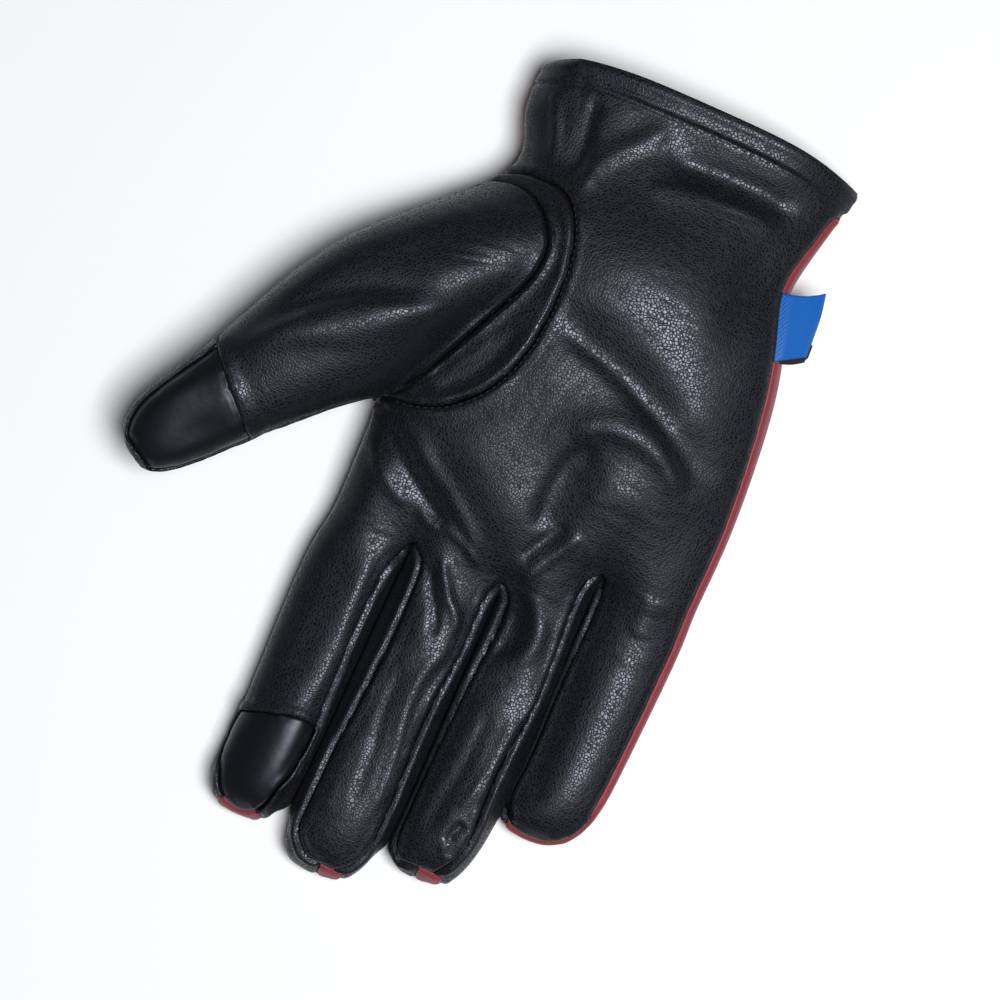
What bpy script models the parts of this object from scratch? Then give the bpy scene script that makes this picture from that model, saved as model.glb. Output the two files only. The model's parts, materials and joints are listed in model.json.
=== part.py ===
# Right-hand leather glove that lies on its back, palm up, with the wrist opening towards +Y.
# A skin of quads is lofted through hand, finger and thumb sections and smoothed as one surface.
# It is given a leather wall inwards and then cut along the seams into the glove's real pieces.
# The origin is on the resting surface, below the middle of the palm. Lengths are in metres.

import math

import bmesh
import bpy
from mathutils import Vector

# Driving sizes of the hand
HAND_LENGTH = 0.1525  # cuff edge to the fork of index and middle finger
PALM_WIDTH = 0.1105
PALM_HEIGHT = 0.038
CUFF_DROP_LEFT = 0.0075  # how far the cuff edge falls at the thumb side
CUFF_DROP_RIGHT = 0.0045
HEM_DEPTH = 0.0075
LITTLE_FORK_RISE = 0.0145  # the fork beside the little finger lies nearer the cuff
FORK_ROUND = 0.0035  # each fork is rounded this far up between its fingers

# Driving sizes of the fingers
INDEX_LENGTH = 0.0957
MIDDLE_LENGTH = 0.1025
RING_LENGTH = 0.1062
LITTLE_LENGTH = 0.0824
FINGER_HEIGHT = 0.0225
FINGER_GAP = 0.0008
WEB_DEPTH = 0.003  # the gusset's middle lies this far past the fork
TIP_TURN = 0.0045  # the back leather reaches this far past the palm's at each fingertip
INDEX_PATCH_LENGTH = 0.033

# Driving sizes of the thumb
THUMB_LENGTH = 0.1095
THUMB_WIDTH = 0.042
THUMB_HEIGHT = 0.034
THUMB_ANGLE = math.radians(40.7)  # away from the fingers' direction
THUMB_BULGE = 0.0045
KEYSTONE_SINK = 0.006  # depth of the valley where thumb and gusset meet

# Driving sizes of the leather and the side tag
WALL = 0.0012
HEM_WALL = 0.0022  # the hem is turned in, so it is two layers thick
SEAM_GAP = 0.0004
INNER_GAP_SHARE = 2.2  # the cut edges slant, so that the seams open wider inside
TAG_WIDTH = 0.020
TAG_REACH = 0.0105
TAG_THICKNESS = 0.001
TAG_LOOP = 0.0034  # height of the open end of the folded ribbon
TAG_CLEARANCE = 0.0003
TAG_LIFT = 0.0012  # the folded ribbon leaves the seam this far above it
TAG_LEAN = math.radians(12)
TAG_ALONG = 0.275  # share of HAND_LENGTH from the cuff edge

# Shares that place the frame and the sections
ORIGIN_ALONG = 0.728  # share of HAND_LENGTH from the cuff edge to the origin
SIDE_LEVEL = 0.44  # height of a section's widest place, share of its height
FLAT_SHARE = 0.50  # flat part of the back, share of the section's half width
CROWN_POWER = 2.7
THUMB_SIDE_EDGE = 0.82  # height of the first palm column, share of the section
LITTLE_SIDE_EDGE = 0.10
VALLEY_SHARE = 0.16  # depth of the palm's valleys towards the forks, share of PALM_HEIGHT
SQUEEZE_START = 0.40  # the rows crowd towards the short fork from this share on

# Sections of the hand. along: share of HAND_LENGTH from the cuff edge. left, right: shares of
# PALM_WIDTH from the centreline. height: share of PALM_HEIGHT. seam_left, seam_right: heights of
# the side seams, shares of the section's height.
HAND_COLUMNS = ("along", "left", "right", "height", "seam_left", "seam_right")
HAND_SECTIONS = (
    (0.000, -0.476, 0.444, 0.84, 0.16, 0.50),
    (0.048, -0.492, 0.441, 0.83, 0.18, 0.52),
    (0.130, -0.492, 0.426, 0.82, 0.58, 0.66),
    (0.210, -0.418, 0.406, 0.86, 0.30, 0.70),
    (0.270, -0.436, 0.392, 0.93, 0.14, 0.70),
    (0.350, -0.440, 0.447, 1.00, 0.12, 0.72),
    (0.464, -0.450, 0.488, 1.00, 0.12, 0.72),
    (0.660, -0.490, 0.512, 0.93, 0.12, 0.66),
    (0.753, -0.540, 0.519, 0.88, 0.12, 0.64),
    (0.830, -0.537, 0.517, 0.84, 0.12, 0.64),
    (1.000, -0.520, 0.501, 0.70, 0.12, 0.64),
)
HAND_ROWS = (0.0, 0.048, 0.13, 0.21, 0.27, 0.35, 0.435, 0.53, 0.63, 0.735, 0.865, 1.0)
HOLE_FIRST_ROW = 4
HOLE_LAST_ROW = 9

# Columns across the palm, as shares of the section's width, from the thumb side
ACROSS = (0.1245, 0.256, 0.3785, 0.5086, 0.624, 0.731, 0.8605)
RING_COUNT = 20
SIDE_LEFT, PALM_FIRST, PALM_LAST, SIDE_RIGHT, BACK_FIRST, BACK_LAST = 0, 1, 9, 10, 11, 19
FORK_COLUMNS = (3, 5, 7)

# Fingers, from the index. tip_left and tip_right are shares of PALM_WIDTH from the centreline,
# where the base takes its sides from the palm's columns. seam_left, seam_right: where the palm's
# leather ends, shares of the finger's half width. lean: how far the tip turns to the thumb, as a
# share of the width.
FINGER_COLUMNS = (
    "name", "length", "tip_left", "tip_right", "height", "seam_left", "seam_right", "lean",
)
FINGERS = (
    ("index", INDEX_LENGTH, -0.501, -0.264, 0.98, 0.90, 0.55, 0.06),
    ("middle", MIDDLE_LENGTH, -0.264, 0.005, 1.00, 0.84, 0.80, 0.08),
    ("ring", RING_LENGTH, 0.008, 0.252, 0.98, 0.88, 0.72, 0.08),
    ("little", LITTLE_LENGTH, 0.248, 0.492, 0.95, 0.94, 0.89, 0.16),
)

# Sections of a finger. along: share of its length. width: share of its width between base and
# tip. top, bottom: shares of its height. turn: share of TIP_TURN.
FINGER_SECTION_COLUMNS = ("along", "width", "top", "bottom", "turn")
FINGER_SECTIONS = (
    (0.055, 1.00, 1.04, 0.00, 0.0),
    (0.34, 1.00, 0.99, 0.00, 0.0),
    (0.668, 1.00, 0.96, 0.00, 0.0),
    (0.80, 1.00, 0.94, 0.01, 0.0),
    (0.915, 0.92, 0.86, 0.06, 0.5),
    (0.975, 0.66, 0.70, 0.18, 1.0),
)
INDEX_PATCH_SECTION = 2  # the patch starts at this section of the index finger
FINGER_FULLNESS = 1.072  # smoothing draws a ring in by this much
FINGER_LEVEL = 0.46  # height of a finger's widest place, share of its height
FINGER_CROWN = 1.06
FINGER_POWER = 2.6
BACK_SEAM_X = 0.74  # the back leather's edge, share of the half width
BACK_SEAM_Z = 0.05

# The two seams round the thumb on the palm side. hole is the palm's edge and seam the thumb's.
# x: share of PALM_WIDTH from the centreline, along: share of HAND_LENGTH, sink: share of
# KEYSTONE_SINK, bulge: share of THUMB_BULGE.
THUMB_SEAM_COLUMNS = ("hole_x", "hole_along", "seam_x", "seam_along", "sink", "bulge")
THUMB_SEAMS = (
    (-0.464, 0.2790, -0.478, 0.2960, 0.00, 0.0),
    (-0.408, 0.2570, -0.4215, 0.2740, 0.15, 0.3),
    (-0.340, 0.2510, -0.3530, 0.2700, 0.20, 0.5),
    (-0.2566, 0.2680, -0.2882, 0.2965, 0.25, 0.7),
    (-0.1914, 0.3313, -0.2403, 0.3477, 0.35, 0.9),
    (-0.1724, 0.4264, -0.2276, 0.4100, 0.55, 1.0),
    (-0.1751, 0.5214, -0.2837, 0.4788, 0.90, 1.0),
    (-0.2068, 0.6132, -0.3380, 0.5477, 1.00, 1.0),
    (-0.2928, 0.7005, -0.3833, 0.6231, 1.00, 0.9),
    (-0.3742, 0.7300, -0.4240, 0.6952, 0.90, 0.7),
    (-0.4466, 0.7444, -0.4692, 0.7378, 0.50, 0.3),
    (-0.5190, 0.7575, -0.5290, 0.7660, 0.00, 0.0),
)
THUMB_BASE_X = -0.374  # share of PALM_WIDTH
THUMB_BASE_ALONG = 0.5116  # share of HAND_LENGTH

# Sections of the thumb. along: share of THUMB_LENGTH. side, width: shares of THUMB_WIDTH.
# turn: degrees out of square with the thumb. centre, height: shares of THUMB_HEIGHT.
THUMB_COLUMNS = ("along", "side", "width", "turn", "centre", "height")
THUMB_SECTIONS = (
    (0.348, -0.258, 1.195, -28.7, 0.74, 0.97),
    (0.510, -0.210, 0.955, -16.0, 0.76, 0.86),
    (0.675, -0.144, 0.716, -5.0, 0.75, 0.70),
    (0.830, -0.112, 0.622, 3.0, 0.74, 0.58),
    (0.930, -0.085, 0.530, 8.0, 0.73, 0.47),
    (0.978, -0.035, 0.310, 10.0, 0.73, 0.27),
)
THUMB_MIDDLE_RINGS = 2  # rings between the thumb's seam and its first section
THUMB_PATCH_SECTION = 2
THUMB_WRAP = 2  # the thumb's back laps over this many columns beside the patch
THUMB_POWER = 2.2
THUMB_FULLNESS = 1.012
THUMB_BACK_STEP = 0.0018  # how far the thumb's back stands off the back panel's edge

# Folds and dents of the palm side. x and along are shares of PALM_WIDTH and HAND_LENGTH, bow is
# a share of the fold's own length, spread of PALM_WIDTH and rise of PALM_HEIGHT.
FOLD_COLUMNS = ("x0", "along0", "x1", "along1", "bow", "spread", "rise")
FOLDS = (
    (-0.14, 0.490, 0.32, 0.640, 0.10, 0.085, -0.060),
    (0.02, 0.680, 0.36, 0.700, 0.28, 0.070, 0.060),
    (0.05, 0.690, 0.12, 0.900, -0.10, 0.080, -0.075),
    (-0.44, 0.780, -0.06, 0.980, 0.05, 0.065, -0.050),
    (-0.33, 0.770, 0.00, 0.900, 0.05, 0.055, 0.045),
    (0.13, 0.860, 0.02, 0.980, 0.10, 0.055, 0.050),
    (-0.20, 0.960, -0.07, 1.140, -0.12, 0.050, 0.045),
    (0.06, 1.020, 0.06, 1.120, 0.00, 0.070, -0.060),
    (-0.27, 0.110, -0.22, 0.300, 0.08, 0.060, 0.045),
    (-0.02, 0.120, 0.30, 0.120, -0.05, 0.090, -0.045),
    (-0.46, 0.560, -0.80, 0.720, 0.06, 0.060, 0.050),
    (-0.50, 0.440, -0.72, 0.600, 0.06, 0.070, -0.035),
)
FOLD_STEPS = 10
FOLD_FACING = 0.25  # a place takes the folds fully once it faces up this much

PANELS = (
    "palm_panel",
    "back_panel",
    "fourchette_index_middle",
    "fourchette_middle_ring",
    "fourchette_ring_little",
    "thumb_keystone",
    "thumb_front",
    "thumb_back",
    "index_touch_patch",
    "thumb_touch_patch",
)
PALM, BACK, GUSSET, KEYSTONE, THUMB_FRONT, THUMB_BACK, INDEX_PATCH, THUMB_PATCH = (
    0, 1, 2, 5, 6, 7, 8, 9,
)
SEAM_CREASE = 0.35
KEYSTONE_CREASE = 0.75
SHARP_ANGLE = math.radians(50)

# Colour, roughness and metallic value of each material
MATERIALS = {
    "black_grain_leather": ((0.012, 0.012, 0.014, 1.0), 0.42, 0.0),
    "red_leather": ((0.235, 0.022, 0.028, 1.0), 0.48, 0.0),
    "black_smooth_leather": ((0.010, 0.010, 0.012, 1.0), 0.36, 0.0),
    "blue_ribbon": ((0.003, 0.105, 0.420, 1.0), 0.70, 0.0),
}
PANEL_MATERIALS = {
    "back_panel": "red_leather",
    "index_touch_patch": "black_smooth_leather",
    "thumb_touch_patch": "black_smooth_leather",
}


def clear_scene():
    for obj in list(bpy.data.objects):
        bpy.data.objects.remove(obj, do_unlink=True)


def smoothstep(value):
    value = min(1.0, max(0.0, value))
    return value * value * (3.0 - 2.0 * value)


def read_table(table, columns, key, share):
    """A column of the table at a share along it, on a smooth curve through its rows."""
    column = columns.index(key)
    along = [row[0] for row in table]
    value = [row[column] for row in table]
    last = len(table) - 1
    share = min(along[last], max(along[0], share))
    row = max(i for i in range(last) if along[i] <= share)

    def slope(i):
        low, high = max(0, i - 1), min(last, i + 1)
        return (value[high] - value[low]) / (along[high] - along[low])

    span = along[row + 1] - along[row]
    t = (share - along[row]) / span
    return (
        (2 * t**3 - 3 * t**2 + 1) * value[row]
        + (t**3 - 2 * t**2 + t) * span * slope(row)
        + (3 * t**2 - 2 * t**3) * value[row + 1]
        + (t**3 - t**2) * span * slope(row + 1)
    )


def hand_y(along):
    return (ORIGIN_ALONG - along) * HAND_LENGTH


def crown(u):
    """Height of the palm side over the widest level, as a share, at u from -1 to 1."""
    return math.sqrt(max(0.0, 1.0 - min(1.0, abs(u)) ** CROWN_POWER))


def crown_reach(height_share):
    """The u at which the palm side has this height share."""
    return max(0.0, 1.0 - height_share**2) ** (1.0 / CROWN_POWER)


def belly(u):
    """Height of the back over the floor, as a share of the widest level. It is flat in the middle."""
    past = max(0.0, (min(1.0, abs(u)) - FLAT_SHARE) / (1.0 - FLAT_SHARE))
    return 1.0 - math.sqrt(max(0.0, 1.0 - past**2))


def belly_reach(height_share):
    return FLAT_SHARE + (1.0 - FLAT_SHARE) * math.sqrt(max(0.0, 1.0 - (1.0 - height_share) ** 2))


class HandSection:
    """One cross-section of the hand at a share along it."""

    def __init__(self, along):
        left, right, height, self.seam_left, self.seam_right = (
            read_table(HAND_SECTIONS, HAND_COLUMNS, key, along) for key in HAND_COLUMNS[1:]
        )
        self.half = (right - left) / 2 * PALM_WIDTH
        self.centre = (right + left) / 2 * PALM_WIDTH
        self.height = height * PALM_HEIGHT
        self.level = SIDE_LEVEL * self.height

    def palm_height(self, x):
        u = (x - self.centre) / self.half
        return self.level + (self.height - self.level) * crown(u)

    def on_side(self, side, share):
        """The x and z of the section's outline at a share of its height, on the side -1 or 1."""
        z = share * self.height
        if z >= self.level:
            reach = crown_reach((z - self.level) / (self.height - self.level))
        else:
            reach = belly_reach(z / self.level)
        return self.centre + side * reach * self.half, z


def end_share(column):
    """Share of HAND_LENGTH at which a column of the hand ends. The little finger's fork is short."""
    rise = LITTLE_FORK_RISE / HAND_LENGTH
    mirrored = column if column <= SIDE_RIGHT else RING_COUNT - column
    return 1.0 - rise * smoothstep((mirrored - FORK_COLUMNS[1]) / (FORK_COLUMNS[2] - FORK_COLUMNS[1]))


def hand_along(row_share, column):
    squeeze = smoothstep((row_share - SQUEEZE_START) / (1.0 - SQUEEZE_START))
    return row_share - (1.0 - end_share(column)) * squeeze


def cuff_drop(u, along):
    """How far a place near the cuff lies below the straight edge."""
    drop = CUFF_DROP_LEFT if u < 0 else CUFF_DROP_RIGHT
    fade = 1.0 - smoothstep(along / HAND_ROWS[3])
    return drop * abs(u) ** 5 * fade


def hand_point(row_share, column):
    """A place of the hand's cage. Column 0 is the thumb side, 1 to 9 the palm, 10 the little
    finger's side and 11 to 19 the back."""
    along = hand_along(row_share, column)
    section = HandSection(along)
    if column == PALM_FIRST:
        x, z = section.on_side(-1, THUMB_SIDE_EDGE)
    elif column == BACK_LAST:
        x, z = section.on_side(-1, section.seam_left)
    elif column == SIDE_LEFT:
        x, z = section.on_side(-1, (section.seam_left + THUMB_SIDE_EDGE) / 2)
    elif column == PALM_LAST:
        x, z = section.on_side(1, section.seam_right)
    elif column == SIDE_RIGHT:
        x, z = section.on_side(1, (section.seam_right + LITTLE_SIDE_EDGE) / 2)
    elif column == BACK_FIRST:
        x, z = section.on_side(1, LITTLE_SIDE_EDGE)
    else:
        on_palm = column < SIDE_RIGHT
        across = ACROSS[column - 2] if on_palm else ACROSS[BACK_LAST - 1 - column]
        u = 2 * across - 1
        x = section.centre + u * section.half
        z = section.palm_height(x) if on_palm else section.level * belly(u)
        if on_palm and column in FORK_COLUMNS:
            z -= VALLEY_SHARE * PALM_HEIGHT * smoothstep((row_share - 0.78) / 0.22)
    u = (x - section.centre) / section.half
    y = hand_y(along) - cuff_drop(u, along)
    if row_share == 1.0 and min(column, RING_COUNT - column) in FORK_COLUMNS:
        y += FORK_ROUND
    return Vector((x, y, z))


def thumb_hole_points():
    """The palm-side edge of the thumb's hole, from the outer side round to the fork."""
    points = []
    for row in THUMB_SEAMS:
        x, along = row[0] * PALM_WIDTH, row[1]
        points.append(Vector((x, hand_y(along), HandSection(along).palm_height(x))))
    for i, side_row in ((0, HOLE_FIRST_ROW), (-1, HOLE_LAST_ROW)):
        points[i].z = hand_point(HAND_ROWS[side_row], SIDE_LEFT).z
    return points


def thumb_seam_points(hole):
    """The thumb's own seam, inside the hole's edge and sunk into the valley beside the gusset."""
    points = []
    for row, edge in zip(THUMB_SEAMS, hole):
        x, along = row[2] * PALM_WIDTH, row[3]
        points.append(Vector((x, hand_y(along), edge.z - row[4] * KEYSTONE_SINK)))
    return points


def thumb_angles(front_count, back_count):
    """Angles round a thumb section, from its outer side over the front and back underneath."""
    front = [math.pi * (1 - i / (front_count - 1)) for i in range(front_count)]
    back = [-math.pi * (i + 1) / (back_count + 1) for i in range(back_count)]
    return front + back


def thumb_section_points(row, angles):
    along, side, width, turn, centre, height = row
    ahead = Vector((-math.sin(THUMB_ANGLE), -math.cos(THUMB_ANGLE), 0))
    across = Vector((math.cos(THUMB_ANGLE), -math.sin(THUMB_ANGLE), 0))
    base = Vector((THUMB_BASE_X * PALM_WIDTH, hand_y(THUMB_BASE_ALONG), 0))
    middle = base + ahead * along * THUMB_LENGTH + across * side * THUMB_WIDTH
    middle.z = centre * THUMB_HEIGHT
    turn = math.radians(turn)
    chord = across * math.cos(turn) + ahead * math.sin(-turn)
    chord *= width * THUMB_WIDTH / 2 * THUMB_FULLNESS
    up = Vector((0, 0, height * THUMB_HEIGHT / 2))

    def rounded(value):
        return math.copysign(abs(value) ** (2 / THUMB_POWER), value)

    return [middle + chord * rounded(math.cos(a)) + up * rounded(math.sin(a)) for a in angles]


def finger_ring(place, seam_left, seam_right):
    """The shares of half width and height of one of the eight places round a finger."""

    def top(x):
        rise = FINGER_CROWN - FINGER_LEVEL
        return x, FINGER_LEVEL + rise * math.sqrt(1 - abs(x) ** FINGER_POWER)

    back_edge = (BACK_SEAM_X, BACK_SEAM_Z)
    return (
        top(-seam_left),
        top(0.0),
        top(seam_right),
        (1.0, FINGER_LEVEL),
        back_edge,
        (0.0, 0.0),
        (-back_edge[0], back_edge[1]),
        (-1.0, FINGER_LEVEL),
    )[place]


def finger_point(finger, base, section, place):
    """One of the eight places round a finger section, between its base ring and its tip."""
    name, length, tip_left, tip_right, height, seam_left, seam_right, lean = FINGERS[finger]
    along, width, top, bottom, turn = section
    share_x, share_z = finger_ring(place, seam_left, seam_right)
    base_left = min(point.x for point in base) if finger == 0 else base[0].x
    base_right = max(point.x for point in base) if finger == 3 else base[2].x
    blend = smoothstep(along / 0.8)
    left = base_left + (tip_left * PALM_WIDTH - base_left) * blend
    right = base_right + (tip_right * PALM_WIDTH - base_right) * blend
    half = (right - left - FINGER_GAP) / 2 * width * FINGER_FULLNESS
    middle = (left + right) / 2 - lean * (right - left) * smoothstep((along - 0.75) / 0.25)
    high = height * FINGER_HEIGHT
    z = high * (bottom + (top - bottom) * share_z)
    fork = max(point.y for point in base)
    y = base[place].y * (1 - along) + (fork - length) * along
    y += turn * TIP_TURN * (share_z - FINGER_LEVEL)
    return Vector((middle + share_x * half, y, z))


class Skin:
    """The cage of quads, with the panel that each face belongs to."""

    def __init__(self):
        self.points = []
        self.faces = []
        self.panels = []

    def add(self, point):
        self.points.append(point)
        return len(self.points) - 1

    def face(self, corners, panel):
        self.faces.append(corners)
        self.panels.append(panel)


def hand_panel(column):
    if column in (PALM_LAST, SIDE_RIGHT) or BACK_FIRST <= column < BACK_LAST:
        return BACK
    return PALM


def add_hand(skin, hole):
    """The hand's rows with the thumb's hole left open. Returns the grid of point numbers."""
    grid = [[skin.add(hand_point(share, c)) for c in range(RING_COUNT)] for share in HAND_ROWS]
    first, last = HOLE_FIRST_ROW, HOLE_LAST_ROW
    edge = [grid[first][c] for c in (0, 1, 2, 3)]
    edge += [grid[row][3] for row in range(first + 1, last + 1)]
    edge += [grid[last][c] for c in (2, 1, 0)]
    for number, point in zip(edge, hole):
        skin.points[number] = point
    for row in range(first, last + 1):  # the next column gives way to the hole's edge
        moved = skin.points[grid[row][3]].x - hand_point(HAND_ROWS[row], 3).x
        skin.points[grid[row][4]].x += 0.35 * moved
    for row in range(len(HAND_ROWS) - 1):
        for c in range(RING_COUNT):
            n = (c + 1) % RING_COUNT
            if first <= row < last and c in (BACK_LAST, 0, 1, 2):
                continue
            corners = (grid[row][c], grid[row + 1][c], grid[row + 1][n], grid[row][n])
            skin.face(corners, hand_panel(c))
    edge += [grid[row][BACK_LAST] for row in range(last, first - 1, -1)]
    return grid, edge


def add_fingers(skin, grid):
    fork_row = grid[-1]
    webs = {}
    for c in FORK_COLUMNS:
        above, below = skin.points[fork_row[c]], skin.points[fork_row[RING_COUNT - c]]
        middle = (above + below) / 2
        middle.y = above.y - WEB_DEPTH
        below.y = above.y - WEB_DEPTH / 2
        webs[c] = skin.add(middle)
    for finger in range(len(FINGERS)):
        first = 1 + 2 * finger
        upper = [fork_row[first + i] for i in range(3)]
        lower = [fork_row[RING_COUNT - first - 2 + i] for i in range(3)]
        right = webs.get(first + 2, fork_row[SIDE_RIGHT])
        left = webs.get(first, fork_row[SIDE_LEFT])
        ring = upper + [right] + lower + [left]
        base = [skin.points[number].copy() for number in ring]
        for number, section in enumerate(FINGER_SECTIONS):
            points = [finger_point(finger, base, section, k) for k in range(8)]
            new_ring = [skin.add(point) for point in points]
            for k in range(8):
                n = (k + 1) % 8
                corners = (ring[k], new_ring[k], new_ring[n], ring[n])
                skin.face(corners, finger_panel(finger, number, k))
            ring = new_ring
        add_finger_tip(skin, finger, ring, base)


def finger_panel(finger, section, k):
    on_palm, on_right, on_left = k in (0, 1), k in (2, 3), k in (6, 7)
    if on_palm or (on_left and finger == 0):
        patched = finger == 0 and on_palm and section > INDEX_PATCH_SECTION
        return INDEX_PATCH if patched else PALM
    if on_right and finger < 3:
        return GUSSET + finger
    if on_left:
        return GUSSET + finger - 1
    return BACK


def add_finger_tip(skin, finger, ring, base):
    name, length, tip_left, tip_right, height, seam_left, seam_right, lean = FINGERS[finger]
    x = (tip_left + tip_right) / 2 - lean * (tip_right - tip_left)
    y = max(point.y for point in base) - length
    tip = skin.add(Vector((x * PALM_WIDTH, y, FINGER_LEVEL * height * FINGER_HEIGHT)))
    for k in (1, 3, 5, 7):
        skin.face((ring[(k + 2) % 8], ring[(k + 1) % 8], ring[k], tip), BACK)


def add_thumb(skin, edge, hole):
    front_count = len(THUMB_SEAMS)
    back_count = len(edge) - front_count
    angles = thumb_angles(front_count, back_count)
    seam = thumb_seam_points(hole)
    for number in edge[front_count:]:
        away = skin.points[number].copy()
        away.x -= THUMB_BACK_STEP
        seam.append(away)
    sections = [thumb_section_points(row, angles) for row in THUMB_SECTIONS]
    rings = [seam]
    bulges = [row[5] for row in THUMB_SEAMS] + [0.0] * back_count
    for i in range(1, THUMB_MIDDLE_RINGS + 1):
        share = i / (THUMB_MIDDLE_RINGS + 1)
        arch = 2 * math.sqrt(share * (1 - share)) * THUMB_BULGE
        ring = [a.lerp(b, share) for a, b in zip(seam, sections[0])]
        for point, bulge in zip(ring, bulges):
            point.z += bulge * arch
        rings.append(ring)
    rings += sections
    patch_ring = THUMB_MIDDLE_RINGS + 1 + THUMB_PATCH_SECTION
    ring = edge
    count = len(edge)
    for number, points in enumerate(rings):
        new_ring = [skin.add(point) for point in points]
        for k in range(count):
            n = (k + 1) % count
            corners = (ring[n], ring[k], new_ring[k], new_ring[n])
            skin.face(corners, thumb_panel(number, k, front_count, patch_ring))
        ring = new_ring
    row = THUMB_SECTIONS[-1]
    end = (1.0, 0.0, 0.0, 0.0, row[4], 0.0)
    tip = skin.add(thumb_section_points(end, [0.0])[0])
    for k in range(0, count, 2):
        skin.face((ring[(k + 2) % count], ring[k + 1], ring[k], tip), THUMB_BACK)


def thumb_panel(ring, k, front_count, patch_ring):
    on_front = k < front_count - 1
    if not on_front:
        return THUMB_BACK
    if ring == 0:
        return KEYSTONE
    if ring <= patch_ring:
        return THUMB_FRONT
    return THUMB_BACK if k < THUMB_WRAP else THUMB_PATCH


def fold_path(row):
    """Places along a fold, from its ends and its bow."""
    x0, along0, x1, along1, bow = row[:5]
    start = Vector((x0 * PALM_WIDTH, hand_y(along0)))
    end = Vector((x1 * PALM_WIDTH, hand_y(along1)))
    across = Vector((start.y - end.y, end.x - start.x))
    middle = (start + end) / 2 + across * bow * 2
    path = []
    for i in range(FOLD_STEPS + 1):
        t = i / FOLD_STEPS
        path.append(start * (1 - t) ** 2 + middle * 2 * t * (1 - t) + end * t**2)
    return path


def fold_rise(place, paths):
    """How far the folds lift a place of the palm side off the smooth skin."""
    rise = 0.0
    for row, path in zip(FOLDS, paths):
        spread = row[5] * PALM_WIDTH
        distance = min((place - point).length for point in path)
        if distance < spread:
            rise += row[6] * PALM_HEIGHT * (1 + math.cos(math.pi * distance / spread)) / 2
    return rise


def crease_seams(mesh_bm):
    crease = mesh_bm.edges.layers.float.new("crease_edge")
    for edge in mesh_bm.edges:
        panels = {face.material_index for face in edge.link_faces}
        if len(panels) == 2:
            sunk = KEYSTONE in panels and (THUMB_FRONT in panels or THUMB_BACK in panels)
            edge[crease] = KEYSTONE_CREASE if sunk else SEAM_CREASE


def smooth_skin(skin):
    """The cage after one step of subdivision, with the folds pressed in and the back flat."""
    mesh = bpy.data.meshes.new("skin")
    mesh.from_pydata([tuple(p) for p in skin.points], [], skin.faces)
    mesh.polygons.foreach_set("material_index", skin.panels)
    for name in PANELS:
        mesh.materials.append(panel_material(name))
    cage_bm = bmesh.new()
    cage_bm.from_mesh(mesh)
    crease_seams(cage_bm)
    cage_bm.to_mesh(mesh)
    cage_bm.free()
    cage = bpy.data.objects.new("skin_cage", mesh)
    bpy.context.scene.collection.objects.link(cage)
    subdivision = cage.modifiers.new("Subdivision", "SUBSURF")
    subdivision.levels = subdivision.render_levels = 1
    smooth = bpy.data.meshes.new_from_object(
        cage.evaluated_get(bpy.context.evaluated_depsgraph_get())
    )
    bpy.data.objects.remove(cage, do_unlink=True)
    paths = [fold_path(row) for row in FOLDS]
    normals = [vertex.normal.copy() for vertex in smooth.vertices]
    for vertex, normal in zip(smooth.vertices, normals):
        facing = smoothstep(normal.z / FOLD_FACING)
        if facing:
            vertex.co += normal * facing * fold_rise(vertex.co.xy, paths)
        vertex.co.z = max(0.0, vertex.co.z)
    return smooth


def leather_shell(skin_mesh):
    """The skin with its wall inwards, twice as thick at the turned hem. The inner places follow
    the outer ones in the same order."""
    count = len(skin_mesh.vertices)
    shell = bpy.data.objects.new("leather_shell", skin_mesh)
    bpy.context.scene.collection.objects.link(shell)
    group = shell.vertex_groups.new(name="wall")
    for vertex in skin_mesh.vertices:
        below_edge = hand_y(0.0) - CUFF_DROP_RIGHT - vertex.co.y
        thick = HEM_WALL if below_edge < HEM_DEPTH else WALL
        group.add([vertex.index], thick / HEM_WALL, "REPLACE")
    solidify = shell.modifiers.new("Solidify", "SOLIDIFY")
    solidify.thickness = HEM_WALL
    solidify.offset = -1
    solidify.use_rim = False
    solidify.vertex_group = group.name
    mesh = bpy.data.meshes.new_from_object(
        shell.evaluated_get(bpy.context.evaluated_depsgraph_get())
    )
    bpy.data.objects.remove(shell, do_unlink=True)
    return mesh, count


def edge_pull(faces, points, boundary):
    """For each place on a panel's edge, the step that opens the seam by half its gap."""
    towards = {}
    along = {}
    for face in faces:
        centre = sum((points[i] for i in face), Vector()) / len(face)
        for i in face:
            if i in boundary:
                towards[i] = towards.get(i, Vector()) + (centre - points[i]).normalized()
    for a, b in boundary_pairs(faces):
        direction = (points[b] - points[a]).normalized()
        along.setdefault(a, []).append(direction)
        along.setdefault(b, []).append(direction)
    pulls = {}
    for i, step in towards.items():
        tangent = sum(along[i], Vector())
        if tangent.length > 1.0:
            tangent.normalize()
            step = step - tangent * step.dot(tangent)
        pulls[i] = step.normalized() * SEAM_GAP / 2
    return pulls


def boundary_pairs(faces):
    """The edges that only one face of the panel uses, in that face's direction."""
    used = {(face[i - 1], face[i]) for face in faces for i in range(len(face))}
    return sorted(pair for pair in used if (pair[1], pair[0]) not in used)


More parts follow.
